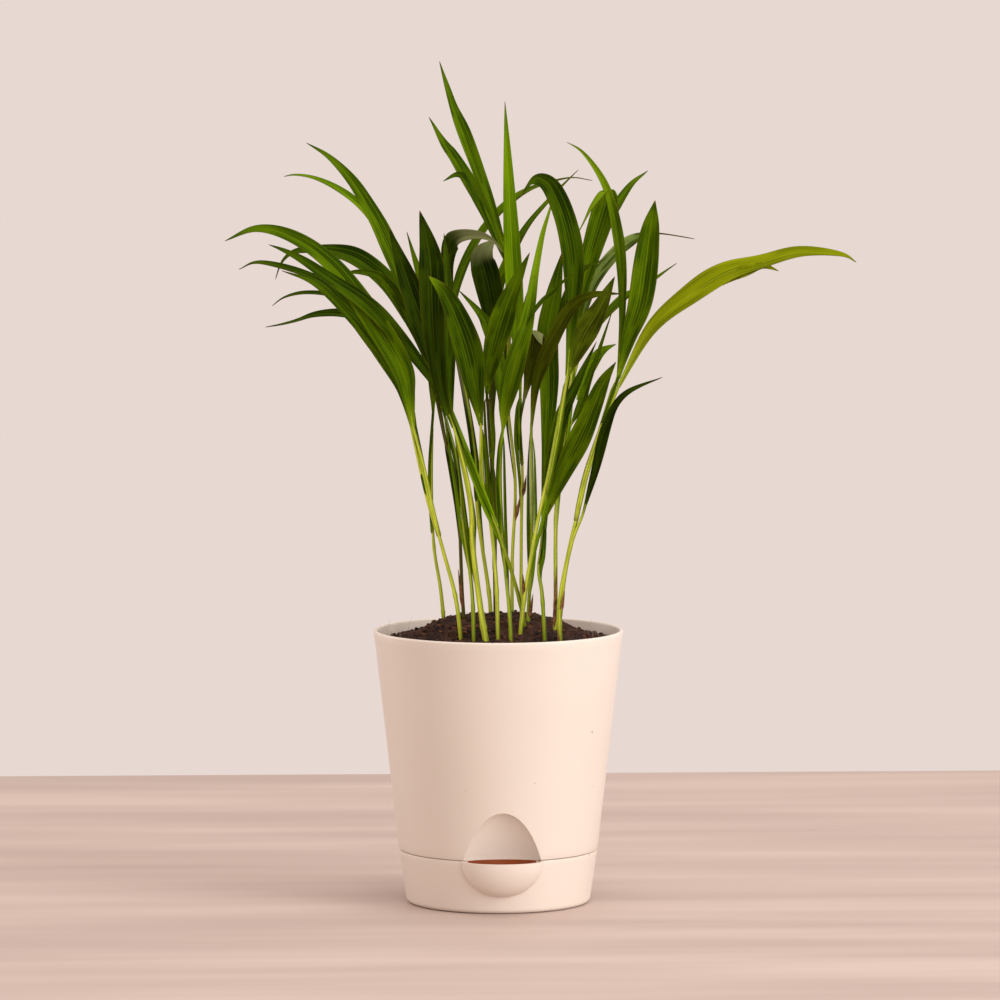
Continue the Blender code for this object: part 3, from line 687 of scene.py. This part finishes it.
def turned(name, profile, sides=ROUND_SIDES):
    """A closed round solid, drawn up ring by ring through (radius, height) points."""
    radius, height = profile[0]
    deselect()
    bpy.ops.mesh.primitive_circle_add(
        vertices=sides, radius=radius * MM, location=(0, 0, height * MM), fill_type="NGON"
    )
    piece = bpy.context.active_object
    piece.name = name
    bpy.ops.object.transform_apply(location=True)
    bpy.ops.object.mode_set(mode="EDIT")
    bpy.ops.mesh.select_all(action="SELECT")
    for (radius, height), (next_radius, next_height) in zip(profile, profile[1:]):
        bpy.ops.mesh.extrude_region_move(
            TRANSFORM_OT_translate={"value": (0, 0, (next_height - height) * MM)}
        )
        ratio = next_radius / radius
        bpy.ops.transform.resize(value=(ratio, ratio, 1))
    bpy.ops.object.mode_set(mode="OBJECT")
    close_up(piece)
    return piece


def quarter_round(centre, radius, start, steps=6):
    """Points of a quarter circle in the profile, from the angle start on, in degrees."""
    angles = [math.radians(start + 90 * step / steps) for step in range(steps + 1)]
    return [(centre[0] + radius * math.cos(a), centre[1] + radius * math.sin(a)) for a in angles]


def placed_half(name, outline, centre_y, axes, column_end):
    """A solid on the seam plane from a unit outline, which goes on past the plane as a column."""
    end = (column_end - SEAM_HEIGHT) / axes[2]
    piece = turned(name, [*outline, (1.0, end)], HELPER_SIDES)
    edit(piece)
    bpy.ops.mesh.select_all(action="SELECT")
    bpy.ops.transform.resize(value=axes, center_override=(0, 0, 0))
    bpy.ops.transform.translate(value=(0, centre_y * MM, SEAM_HEIGHT * MM))
    bpy.ops.object.mode_set(mode="OBJECT")
    close_up(piece)
    return piece


def arch(axes, lowest):
    """The arched hollow's shape: a paraboloid above the seam."""
    steps = 24
    shares = [max(step / steps, 0.004) ** 2 for step in range(steps + 1)]
    outline = [(math.sqrt(share), 1 - share) for share in shares]
    return placed_half("arch", outline, HOLLOW_CENTRE_Y, axes, lowest)


def bowl(axes, highest):
    """The lip's shape: half an ellipsoid below the seam."""
    steps = 24
    angles = [0.5 * math.pi * max(step / steps, 0.003) for step in range(steps + 1)]
    outline = [(math.sin(angle), -math.cos(angle)) for angle in angles]
    return placed_half("bowl", outline, LIP_CENTRE_Y, axes, highest)


def grown(axes, extra):
    return tuple(axis + extra for axis in axes)


def make_shell(plastic, spout_shade_finish):
    step = SEAM_HEIGHT + SEAM_GAP
    plug_top = plug_radius(SEAM_HEIGHT)
    floor_top = FLOOR_HEIGHT + WALL
    rim_round = WALL / 2
    profile = [
        (WELL_RADIUS - 1, WELL_FOOT),
        (WELL_RADIUS, WELL_FOOT + 1),
        (WELL_RADIUS + 0.6, FLOOR_HEIGHT),
        (plug_radius(FLOOR_HEIGHT), FLOOR_HEIGHT),
        (plug_top, step),
        (shell_radius(step) - SEAM_EDGE, step),
        (shell_radius(step) - 0.12, step + 0.12),
        (shell_radius(step + SEAM_EDGE), step + SEAM_EDGE),
    ]
    rings = 30
    for ring in range(1, rings):
        height = step + SEAM_EDGE + (RIM_HEIGHT - rim_round - step - SEAM_EDGE) * ring / rings
        profile.append((shell_radius(height), height))
    rim_centre = (RIM_RADIUS - rim_round, RIM_HEIGHT - rim_round)
    profile += quarter_round(rim_centre, rim_round, 0)
    profile += quarter_round(rim_centre, rim_round, 90)[1:]
    profile += [
        (shell_radius(SEAM_HEIGHT + 4) - WALL, SEAM_HEIGHT + 4),
        (plug_top - WALL, SEAM_HEIGHT),
        (plug_radius(floor_top) - WALL, floor_top),
        (WELL_RADIUS - WALL + 0.6, floor_top),
        (WELL_RADIUS - WALL, WELL_FOOT + WALL),
    ]
    shell = turned("shell", profile)

    # The hollow's own wall: a lump inside the shell, kept just inside its outer face.
    lump_floor = FLOOR_HEIGHT + 0.5
    lump = arch(grown(HOLLOW_AXES, WALL), lump_floor)
    inside = [
        (plug_radius(FLOOR_HEIGHT) - 1, lump_floor - 5),
        (plug_top - 1, SEAM_HEIGHT + 1),
        (shell_radius(SEAM_HEIGHT + 1) - 1, SEAM_HEIGHT + 2),
        (RIM_RADIUS - 1, RIM_HEIGHT),
    ]
    cut(lump, turned("shell_inside", inside), "INTERSECT")
    cut(shell, lump, "UNION")
    cut(shell, arch(HOLLOW_AXES, WELL_FOOT), "DIFFERENCE")
    for index in range(DRAIN_HOLES):
        angle = math.tau * (index + 0.5) / DRAIN_HOLES
        deselect()
        bpy.ops.mesh.primitive_cylinder_add(
            vertices=24, radius=DRAIN_RADIUS * MM, depth=4 * WALL * MM,
            location=(DRAIN_CIRCLE * math.cos(angle) * MM, DRAIN_CIRCLE * math.sin(angle) * MM,
                      (FLOOR_HEIGHT + 1) * MM),
        )
        cut(shell, bpy.context.active_object, "DIFFERENCE")
    keep(shell, "beige_plastic", [plastic, spout_shade_finish], "planter_shell")
    # Faces down in the filling spout get the painted shade finish in place of the plastic.
    for face in shell.data.polygons:
        place = face.center / MM
        across, back = place.x / HOLLOW_AXES[0], (place.y - HOLLOW_CENTRE_Y) / HOLLOW_AXES[1]
        in_spout = place.z < SEAM_HEIGHT and place.y < SPOUT_BACK_Y and across**2 + back**2 < 1.02
        face.material_index = 1 if in_spout else 0
    smooth(shell)


def make_tray(plastic):
    inner_foot = tray_radius(WALL + 2) - WALL
    profile = [(FOOT_RADIUS - FOOT_FILLET, 0)]
    fillet = quarter_round((FOOT_RADIUS - FOOT_FILLET, FOOT_FILLET), FOOT_FILLET, -90)
    profile += fillet[1:]
    rings = 10
    for ring in range(1, rings):
        height = FOOT_FILLET + (SEAM_HEIGHT - SEAM_EDGE - FOOT_FILLET) * ring / rings
        profile.append((tray_radius(height), height))
    profile += [
        (tray_radius(SEAM_HEIGHT - SEAM_EDGE), SEAM_HEIGHT - SEAM_EDGE),
        (SEAM_RADIUS - 0.14, SEAM_HEIGHT - 0.14),
        (SEAM_RADIUS - SEAM_EDGE, SEAM_HEIGHT),
        (SEAM_RADIUS - WALL, SEAM_HEIGHT),
        (inner_foot, WALL + 2),
        (inner_foot - 2, WALL),
    ]
    tray = turned("tray", profile)
    lip = bowl(LIP_AXES, SEAM_HEIGHT + 0.01)
    space = [
        (inner_foot + 0.8, WALL + 1),
        (SEAM_RADIUS - WALL + 0.8, SEAM_HEIGHT + 3),
    ]
    cut(lip, turned("tray_inside", space), "DIFFERENCE")
    cut(tray, lip, "UNION")
    cut(tray, bowl(grown(LIP_AXES, -LIP_WALL), SEAM_HEIGHT + 8), "DIFFERENCE")
    smooth(tray)
    keep(tray, "beige_plastic", [plastic], "reservoir_tray")


# ---------------------------------------------------------------- soil


def crown_height(radius):
    """Height of the soil's crown at a distance from the axis."""
    points = [(shell_radius(SOIL_EDGE_HEIGHT), SOIL_EDGE_HEIGHT), *SOIL_CROWN]
    for (outer, low), (inner, high) in zip(points, points[1:]):
        if radius >= inner:
            return high + (low - high) * (radius - inner) / (outer - inner)
    return SOIL_CROWN[-1][1]


def make_soil(earth):
    gap = WALL + PLUG_GAP
    edge = shell_radius(SOIL_EDGE_HEIGHT) - gap
    floor_top = FLOOR_HEIGHT + gap
    profile = [
        (WELL_RADIUS - gap, WELL_FOOT + gap),
        (WELL_RADIUS - gap + 0.4, floor_top),
        (plug_radius(floor_top) - gap - 0.1, floor_top),
        (plug_radius(SEAM_HEIGHT) - gap - 0.2, SEAM_HEIGHT + 0.2),
        (shell_radius(SEAM_HEIGHT + 4) - gap - 0.2, SEAM_HEIGHT + 4.3),
        (edge, SOIL_EDGE_HEIGHT),
    ]
    ring = edge - SOIL_STEP
    while ring > SOIL_STEP:
        profile.append((ring, crown_height(ring)))
        ring -= SOIL_STEP
    soil = turned("soil", profile, SOIL_SIDES)
    cut(soil, arch(grown(HOLLOW_AXES, gap), WELL_FOOT), "DIFFERENCE")
    top = soil.vertex_groups.new(name="top")
    for point in soil.data.vertices:
        above = (point.co.z / MM - SOIL_EDGE_HEIGHT) / CALM_HEIGHT
        inside = (edge - point.co.xy.length / MM) / CALM_WIDTH
        top.add([point.index], min(max(min(above, inside), 0.0), 1.0), "REPLACE")
    for name, size, height in (("clods", 7.0, 4.2), ("lumps", 2.6, 2.4), ("grains", 1.1, 1.0)):
        pattern = bpy.data.textures.new(name, "CLOUDS")
        pattern.noise_scale = size * MM
        pattern.noise_depth = 2
        change(soil, "DISPLACE", texture=pattern, strength=height * MM, mid_level=0.55,
               vertex_group="top", direction="Z", texture_coords="LOCAL")
    smooth(soil, 180)
    keep(soil, "potting_mix", [earth], "potting_soil")
    return soil


def soil_place(soil, x, y):
    """The point of the soil's surface, in metres, above a place in millimetres."""
    hit, place, _, _ = soil.ray_cast(Vector((x * MM, y * MM, 0.2)), Vector((0, 0, -1)))
    return place if hit else Vector((x, y, SOIL_EDGE_HEIGHT)) * MM


def make_crumbs(soil, earth, coir):
    """Crumbs of peat and chips of coir, scattered over the soil."""
    deselect()
    bpy.ops.mesh.primitive_ico_sphere_add(subdivisions=2, radius=1.0)
    lump = bpy.context.active_object
    for point in lump.data.vertices:
        point.co *= draw.uniform(0.72, 1.12)
    kinds = {
        "crumbs": (650, earth, (0.5, 1.6), (0.7, 1.0)),
        "chips": (420, coir, (0.35, 0.9), (1.3, 2.8)),
    }
    for name, (count, finish, sizes, lengths) in kinds.items():
        copies = []
        for index in range(count):
            angle = draw.uniform(0, math.tau)
            out = CRUMB_REACH * math.sqrt(draw.uniform(0.0, 1.0))
            place = soil_place(soil, out * math.cos(angle), out * math.sin(angle))
            size = draw.uniform(*sizes) * (1.0 if draw.random() < 0.9 else 1.35)
            crumb = copy_of(lump, f"{name}_{index}")
            turn = Matrix.Rotation(draw.uniform(0, math.tau), 4, "Z")
            turn = turn @ Matrix.Rotation(draw.uniform(-0.6, 0.6), 4, "X")
            length, height = size * draw.uniform(*lengths), size * draw.uniform(0.55, 0.9)
            shape = Matrix.Diagonal((length, size, height, 1)) @ Matrix.Diagonal((MM, MM, MM, 1))
            crumb.data.transform(Matrix.Translation(place) @ turn @ shape)
            copies.append(crumb)
        made = joined(copies, f"soil_{name}")
        smooth(made, 50)
        keep(made, "potting_mix", [finish])
    bpy.data.objects.remove(lump, do_unlink=True)


def strands(name, lines, thickness, finish):
    """Thin fibres, each along a few points in metres, made as one piece."""
    curve = bpy.data.curves.new(name, "CURVE")
    curve.dimensions = "3D"
    curve.bevel_depth = thickness * MM
    curve.bevel_resolution = 0
    curve.use_fill_caps = True
    for line in lines:
        spline = curve.splines.new("POLY")
        spline.points.add(len(line) - 1)
        for index, (point, place) in enumerate(zip(spline.points, line)):
            point.co = (*place, 1.0)
            point.radius = 1.0 - 0.6 * index / (len(line) - 1)
    piece = bpy.data.objects.new(name, curve)
    bpy.context.scene.collection.objects.link(piece)
    deselect()
    piece.select_set(True)
    bpy.context.view_layer.objects.active = piece
    bpy.ops.object.convert(target="MESH")
    piece = bpy.context.active_object
    close_up(piece)
    smooth(piece, 60)
    keep(piece, "potting_mix", [finish])


def make_fibres(soil, dark_coir, pale_coir):
    """Coir fibres that lie over the soil, and a few pale hairs that stand up beside the rim."""
    lying = []
    for _ in range(FIBRE_COUNT):
        angle = draw.uniform(0, math.tau)
        out = FIBRE_REACH * math.sqrt(draw.uniform(0.02, 1.0))
        x, y = out * math.cos(angle), out * math.sin(angle)
        heading, bend = draw.uniform(0, math.tau), draw.uniform(-0.7, 0.7)
        line = []
        for _ in range(6):
            place = soil_place(soil, x, y)
            line.append(place + Vector((0, 0, draw.uniform(0.1, 0.9) * MM)))
            x += FIBRE_STEP * math.cos(heading)
            y += FIBRE_STEP * math.sin(heading)
            heading += bend * 0.5
            if math.hypot(x, y) > FIBRE_REACH + 2:
                break
        if len(line) > 2:
            lying.append(line)
    strands("coir_fibres", lying, 0.13, dark_coir)
    standing = []
    for side in (-1, 1):
        for _ in range(HAIRS_A_SIDE):
            x = side * draw.uniform(44, 56)
            y = draw.uniform(-14, 20)
            lean, tall = draw.uniform(-0.8, 0.8), draw.uniform(3, 9)
            foot = soil_place(soil, x, y)
            steps = [(share, share**2) for share in (0, 0.25, 0.5, 0.75, 1.0)]
            standing.append([
                foot + Vector((lean * tall * curl, draw.uniform(-0.3, 0.3), tall * share)) * MM
                for share, curl in steps
            ])
    strands("pale_hairs", standing, 0.09, pale_coir)


# ---------------------------------------------------------------- plant


def smooth_route(points, steps):
    """Places at even steps along the smooth curve through the points, and the way it runs there."""
    knots = [Vector(p) for p in points]
    knots = [2 * knots[0] - knots[1]] + knots + [2 * knots[-1] - knots[-2]]
    places = []
    for step in range(steps + 1):
        reach = (len(points) - 1) * step / steps
        span = min(int(reach), len(points) - 2)
        t = reach - span
        a, b, c, d = knots[span:span + 4]
        bend = 2 * a - 5 * b + 4 * c - d
        turn = 3 * (b - c) + d - a
        place = b + 0.5 * t * (c - a + t * (bend + t * turn))
        way = 0.5 * (c - a + 2 * t * bend + 3 * t * t * turn)
        places.append((place, way.normalized()))
    return places


def route_frames(points, steps, turn):
    """Places along a route with the way across and the way up there, carried without a kink.

    The way across starts turned by turn[0] degrees from the front, and twists evenly until it has
    turned by turn[1].
    """
    places = smooth_route(points, steps)
    way = places[0][1]
    side = Matrix.Rotation(math.radians(turn[0]), 3, way) @ way.cross(VIEW).normalized()
    twist = math.radians(turn[1] - turn[0]) / steps
    frames = [(places[0][0], side, way.cross(side))]
    for (_, before), (place, way) in zip(places, places[1:]):
        side = Matrix.Rotation(twist, 3, way) @ (before.rotation_difference(way) @ side)
        frames.append((place, side, way.cross(side)))
    return frames


def blade_outline(share, widest):
    """Share of a blade's full width at a share of its length: a quick rise, then a long taper."""
    if share < widest:
        rise = LATE_RISE if widest in LATE_RISING else BLADE_RISE
        return BLADE_FOOT + (1 - BLADE_FOOT) * math.sin(0.5 * math.pi * share / widest) ** rise
    fall = (share - widest) / (1 - widest)
    taper = LONG_TAPER if widest in LONG_TAPERED else BLADE_TAPER
    return BLADE_TIP + (1 - BLADE_TIP) * (1 - fall**taper)


def flat_blade(widest):
    """A flat leaflet one long and one wide, folded along its midrib and pleated along its veins."""
    deselect()
    bpy.ops.mesh.primitive_grid_add(
        x_subdivisions=BLADE_ROWS, y_subdivisions=BLADE_STRIPS, size=1, location=(0.5, 0, 0)
    )
    blank = bpy.context.active_object
    bpy.ops.object.transform_apply(location=True)
    bpy.ops.object.mode_set(mode="EDIT")
    for strip in range(BLADE_STRIPS + 1):
        line = strip / BLADE_STRIPS - 0.5
        rise = abs(line) * math.sin(BLADE_FOLD) + BLADE_PLEAT * (strip % 2)
        pick(blank, lambda co: abs(co.y - line) < 0.001)
        bpy.ops.transform.translate(value=(0, 0, rise))
    for row in range(BLADE_ROWS + 1):
        along = row / BLADE_ROWS
        wide = blade_outline(along, widest)
        pick(blank, lambda co: abs(co.x - along) < 0.001)
        bpy.ops.transform.resize(
            value=(1, wide * math.cos(BLADE_FOLD), wide), center_override=(along, 0, 0)
        )
    bpy.ops.object.mode_set(mode="OBJECT")
    return blank


def lay_along(piece, frames, width, ripple=0.0):
    """Bends a flat blade along a route: its length follows the frames and its edges ripple."""
    last = len(frames) - 1
    phase = draw.uniform(0, math.tau)
    for point in piece.data.vertices:
        along, across, lift = point.co
        place, side, up = frames[round(along * last)]
        wave = ripple * math.sin(math.tau * BLADE_WAVES * along + phase + 3 * across) * abs(across)
        point.co = MM * (PLANT_PLACE @ (place + width * (across * side + (lift + wave) * up)))


def tube(name, frames, radius_at, sides=14):
    """A round stem along a route, rolled up from a flat strip, with both ends drawn to a point."""
    last = len(frames) - 1
    deselect()
    bpy.ops.mesh.primitive_grid_add(
        x_subdivisions=last, y_subdivisions=sides, size=1, location=(0.5, 0.5, 0)
    )
    piece = bpy.context.active_object
    piece.name = name
    bpy.ops.object.transform_apply(location=True)
    for point in piece.data.vertices:
        row = round(point.co.x * last)
        place, side, up = frames[row]
        angle = math.tau * point.co.y
        radius = radius_at(row / last) if 0 < row < last else TUBE_END_RADIUS
        outwards = math.cos(angle) * side + math.sin(angle) * up
        point.co = MM * (PLANT_PLACE @ (place + radius * outwards))
    close_up(piece, 0.00005)
    return piece


def stem_radius(radii, joints):
    """A stem's radius along it: an even taper with a slight swelling at each joint."""
    def at(share):
        swell = sum(JOINT_SWELL * math.exp(-((share - joint) / JOINT_LENGTH) ** 2) for joint in joints)
        return STEM_SLIMNESS * (radii[0] + (radii[1] - radii[0]) * share + swell * radii[0])
    return at


def places_below(stem_places, foot):
    """Places down beside the stem, where a leaflet's own stalk runs before it leaves the stem."""
    nearest = min(range(len(stem_places)), key=lambda i: (stem_places[i][0] - foot).length)
    sway = draw.uniform(0, math.tau)
    beside = STALK_GAP * Vector((math.cos(sway), math.sin(sway), 0))
    below = [max(nearest - back, 1) for back in STALK_STARTS]
    shares = (0.2, 0.8, 1.0)
    return [stem_places[i][0] + share * beside for i, share in zip(below, shares) if i > 1]


# The leaflets that have each pair of finishes: on the upper side, and on the underside.
# The tones from darkest to fresh are one green at different brightness, given to each leaflet partly for its
# own tone and partly as painted light and shade for how lit it stands; the tone named lit paints a lighter
# far end as light.
LEAVES_WITH = {
    ("mid", "fresh"): "01a 02a 10a 10b 17b",
    ("deep", "olive"): "02b 02d 03a 03b 04a 10c 14b",
    ("mid", "olive"): "02c 04b 08c 14a 15b 15d 15e 16b",
    ("darkest", "olive"): "05a 16d 17a",
    ("deep", "deep"): "05b 09c 12c",
    ("arched", "arched"): "06a",
    ("mid", "mid"): "06b 08b 09b 11c 14c",
    ("tipped", "olive"): "07a",
    ("turned", "turned"): "08a",
    ("lit", "lit"): "09a 15c 16a",
    ("fresh", "fresh"): "11a 15f 17c",
    ("capped", "capped"): "11b",
    ("deep", "fresh"): "12a",
    ("olive", "olive"): "12b 13a",
    ("striped", "olive"): "15a",
    ("golden", "golden"): "16c 16e",
}
LEAF_FINISH = {name: pair for pair, names in LEAVES_WITH.items() for name in names.split()}


def leaf_finishes():
    """Each tone's dark green, fresh green and rib, and for some its far end's colour and start."""
    darkest = ((0.007, 0.015, 0.0002), (0.038, 0.066, 0.0004), (0.060, 0.095, 0.002))
    deep = ((0.011, 0.026, 0.0002), (0.070, 0.124, 0.0006), (0.100, 0.160, 0.003))
    mid = ((0.023, 0.050, 0.0004), (0.120, 0.198, 0.0008), (0.170, 0.250, 0.004))
    fresh = ((0.075, 0.150, 0.0010), (0.190, 0.310, 0.0020), (0.270, 0.380, 0.015))
    golden = ((0.110, 0.135, 0.0008), (0.250, 0.275, 0.0020), (0.290, 0.330, 0.015))
    olive = ((0.026, 0.034, 0.0006), (0.085, 0.112, 0.0014), (0.140, 0.170, 0.008))
    pale = (0.20, 0.21, 0.08)
    bright = (0.19, 0.31, 0.004)
    tones = {
        "darkest": darkest, "deep": deep, "mid": mid,
        "fresh": fresh, "golden": golden, "olive": olive,
        "striped": (deep[0], (0.22, 0.29, 0.06), deep[2]),
        "arched": (*darkest, pale, 0.46),
        "turned": (*darkest, pale, 0.62),
        "capped": (*olive, pale, 0.66),
        "tipped": (*deep, bright, 0.86),
        "lit": (*mid, bright, 0.55),
    }
    return {name: blade(f"leaf_{name}", *tone) for name, tone in tones.items()}


def make_leaf(name, leaf, coats, stem_places, width, turn, route):
    """A leaflet from a flat blade, with a thin stalk that runs down beside the stem."""
    frames = route_frames(route, BLADE_ROWS, turn)
    lay_along(leaf, frames, width, BLADE_RIPPLE)
    coat(leaf, coats)
    change(leaf, "SOLIDIFY", thickness=BLADE_THICKNESS * MM, offset=0.0, material_offset=1)
    change(leaf, "SUBSURF", levels=1, render_levels=1)
    if name in LOOKS_ONLY:
        smooth(leaf, 60)
        keep(leaf, "leaf_green", None)
        return
    below = places_below(stem_places, Vector(route[0]))
    stalk_frames = route_frames([*below, route[0], frames[3][0]], STALK_ROWS, (0, 0))
    petiole = tube("petiole", stalk_frames, lambda share: STALK_RADIUS - STALK_TAPER * share, 10)
    coat(petiole, coats)
    faces = petiole.data.polygons
    faces.foreach_set("material_index", [draw.choice((0, 2))] * len(faces))
    leaf = joined([leaf, petiole], f"palm_leaf_{name}")
    smooth(leaf, 60)
    keep(leaf, "leaf_green", None, f"leaflet_{name}")


def make_shoot(shoot, parts, blanks, greens, stalks):
    """One shoot: its stem and its leaflets."""
    stem_frames = route_frames(parts["stem"], STEM_ROWS, (0, 0))
    joints = [draw.uniform(0.12, 0.3), draw.uniform(0.45, 0.7)]
    stem = tube(f"palm_stem_{shoot}", stem_frames, stem_radius(parts["radii"], joints))
    smooth(stem, 60)
    keep(stem, "stem_green", [stalks[shoot]], f"stem_{shoot}")
    stem_places = smooth_route(parts["stem"], STEM_ROWS)
    for letter in sorted(parts.keys() - {"stem", "radii"}):
        name = shoot + letter
        leaf = copy_of(blanks[WIDEST_SHARE_OF.get(name, WIDEST_SHARE)], f"palm_leaf_{name}")
        upper, under = LEAF_FINISH[name]
        coats = (greens[upper], greens[under], stalks[shoot])
        make_leaf(name, leaf, coats, stem_places, *parts[letter])


# Old dry sheaths: the shoot, the share of its stem where they start, their length and their lean.
DRY_SHEATHS = [
    ("16", 0.0, 14, -0.5), ("16", 0.16, 12, 1.3), ("03", 0.18, 22, -0.5), ("15", 0.12, 34, -0.8),
    ("10", 0.3, 13, 1.2), ("13", 0.2, 13, 1.1), ("12", 0.24, 11, -1.3), ("11", 0.4, 11, 1.0),
]

# How many green sheaths stand beside each shoot's stem.
SHEATHS_OF = {
    "03": 1, "04": 1, "05": 2, "06": 1, "07": 2, "08": 2, "09": 2, "10": 1, "11": 2, "12": 1, "13": 2,
    "14": 1, "15": 1, "17": 1,
}


def make_green_sheath(shoot, parts, blank, greens, index):
    """A thin folded young leaf that hugs its stem from part of the way up to the top."""
    stem_places = smooth_route(parts["stem"], STEM_ROWS)
    start = draw.randint(14, 24)
    lean = draw.choice((-1, 1)) * draw.uniform(1.2, 2.4)
    depth = draw.uniform(-1.6, 1.6)
    # Rows up the stem, and the share of the lean and depth by which the sheath stands off there.
    rows = ((start, 0.2), (start + 9, 0.7), (start + 18, 1.0), (50, 0.8), (STEM_ROWS, 0.3))
    route = [stem_places[row][0] + share * Vector((lean, depth, 0)) for row, share in rows]
    sheath = copy_of(blank, f"palm_sheath_{shoot}_{index}")
    frames = route_frames(route, BLADE_ROWS, (draw.uniform(-20, 20), draw.uniform(-30, 30)))
    lay_along(sheath, frames, GREEN_SHEATH_WIDTH)
    tone = greens[draw.choice(("mid", "mid", "fresh", "fresh"))]
    change(sheath, "SOLIDIFY", thickness=BLADE_THICKNESS * MM, offset=0.0)
    smooth(sheath, 60)
    keep(sheath, "stem_green", [tone])


def make_dry_sheaths(blank, dry):
    for number, (shoot, start, length, lean) in enumerate(DRY_SHEATHS):
        stem_places = smooth_route(SHOOTS[shoot]["stem"], STEM_ROWS)
        foot, way = stem_places[round(start * STEM_ROWS)]
        out = Vector((lean, -1.0, 0))
        route = [foot + 0.5 * out, foot + 0.4 * length * way + out, foot + length * way + 1.9 * out]
        sheath = copy_of(blank, f"dry_sheath_{number}")
        lay_along(sheath, route_frames(route, BLADE_ROWS, (0, 15)), DRY_SHEATH_WIDTH, ripple=0.2)
        change(sheath, "SOLIDIFY", thickness=BLADE_THICKNESS * MM, offset=0.0)
        smooth(sheath, 60)
        keep(sheath, "stem_green", [dry])


def make_plant():
    greens = leaf_finishes()
    light = stalk(
        "stem_light", (0.11, 0.115, 0.006), (0.64, 0.70, 0.055), (0.25, 0.36, 0.006), (0.08, 0.10, 0.002)
    )
    green = stalk(
        "stem_deep", (0.07, 0.075, 0.005), (0.36, 0.46, 0.018), (0.12, 0.20, 0.003), (0.04, 0.055, 0.001)
    )
    brown = stalk(
        "stem_brown", (0.025, 0.010, 0.004), (0.12, 0.12, 0.010), (0.07, 0.08, 0.005), (0.03, 0.012, 0.003)
    )
    stalks = {shoot: light for shoot in SHOOTS}
    stalks.update({shoot: green for shoot in ("04", "09", "13", "14", "17")})
    stalks["03"] = brown
    stalks["08"] = brown
    blanks = {widest: flat_blade(widest) for widest in {WIDEST_SHARE, *WIDEST_SHARE_OF.values()}}
    for shoot, parts in SHOOTS.items():
        make_shoot(shoot, parts, blanks, greens, stalks)
        for index in range(SHEATHS_OF.get(shoot, 0)):
            make_green_sheath(shoot, parts, blanks[WIDEST_SHARE], greens, index)
    make_dry_sheaths(blanks[WIDEST_SHARE], fibre("dry_sheath", (0.05, 0.018, 0.006), (0.26, 0.11, 0.03)))
    for blank in blanks.values():
        bpy.data.objects.remove(blank, do_unlink=True)


# ---------------------------------------------------------------- studio


def area_light(name, place, target, size, power, colour):
    lamp = bpy.data.lights.new(name, "AREA")
    lamp.shape = "RECTANGLE"
    lamp.size, lamp.size_y = size
    lamp.energy = power
    lamp.color = colour
    holder = bpy.data.objects.new(name, lamp)
    holder.location = place
    holder.rotation_euler = (Vector(target) - Vector(place)).to_track_quat("-Z", "Y").to_euler()
    bpy.context.scene.collection.objects.link(holder)


def make_studio():
    deselect()
    bpy.ops.mesh.primitive_plane_add(size=0.97, location=(0, 0, -0.0002))
    floor = bpy.context.active_object
    floor.name = "floor"
    bpy.ops.object.transform_apply(location=True, scale=True)
    floor.data.materials.append(
        sheet_finish("floor_pale", (0.46, 0.355, 0.305), (0.57, 0.450, 0.390), 6, 0.6)
    )
    world = bpy.data.worlds.new("studio")
    world.use_nodes = True
    world.node_tree.nodes["Background"].inputs["Color"].default_value = (0.80, 0.69, 0.645, 1)
    world.node_tree.nodes["Background"].inputs["Strength"].default_value = 1.0
    bpy.context.scene.world = world
    middle = (0, 0, 0.15)
    area_light("key", (1.6, -1.1, 0.8), middle, (0.9, 1.3), 25, (0.94, 0.98, 1.0))
    area_light("fill", (0.5, -2.5, 1.0), middle, (1.0, 1.0), 11, (0.96, 0.99, 1.0))
    area_light("edge", (-1.4, 0.9, 0.5), middle, (0.4, 1.2), 6, (1.0, 0.96, 0.93))
    area_light("top", (0.1, -0.1, 1.8), middle, (0.8, 0.8), 10, (1.0, 0.98, 0.96))
    bpy.context.scene.view_settings.view_transform = "Standard"


def make_camera():
    """Looks at the plant from the front, a little above it."""
    turn = Matrix.Rotation(PLANT_TURN, 3, "Z")
    lens = bpy.data.cameras.new("camera")
    lens.lens = CAMERA_LENS
    lens.clip_end = 20.0
    camera = bpy.data.objects.new("camera", lens)
    camera.location = turn @ Vector(CAMERA_PLACE)
    aim = turn @ Vector(CAMERA_AIM)
    camera.rotation_euler = (aim - camera.location).to_track_quat("-Z", "Y").to_euler()
    bpy.context.scene.collection.objects.link(camera)
    bpy.context.scene.camera = camera


def main():
    make_camera()
    make_studio()
    plastic = moulded_plastic()
    earth = loose_soil("potting_mix", (0.006, 0.003, 0.002), (0.024, 0.010, 0.006), (0.090, 0.034, 0.017))
    coir = loose_soil("coir_chips", (0.04, 0.015, 0.008), (0.11, 0.038, 0.018), (0.22, 0.08, 0.035))
    make_shell(plastic, spout_painted_shade())
    make_tray(plastic)
    soil = make_soil(earth)
    make_crumbs(soil, earth, coir)
    make_fibres(
        soil,
        fibre("coir_dark", (0.05, 0.02, 0.010), (0.14, 0.055, 0.028)),
        fibre("coir_pale", (0.30, 0.20, 0.13), (0.50, 0.38, 0.28)),
    )
    make_plant()


main()
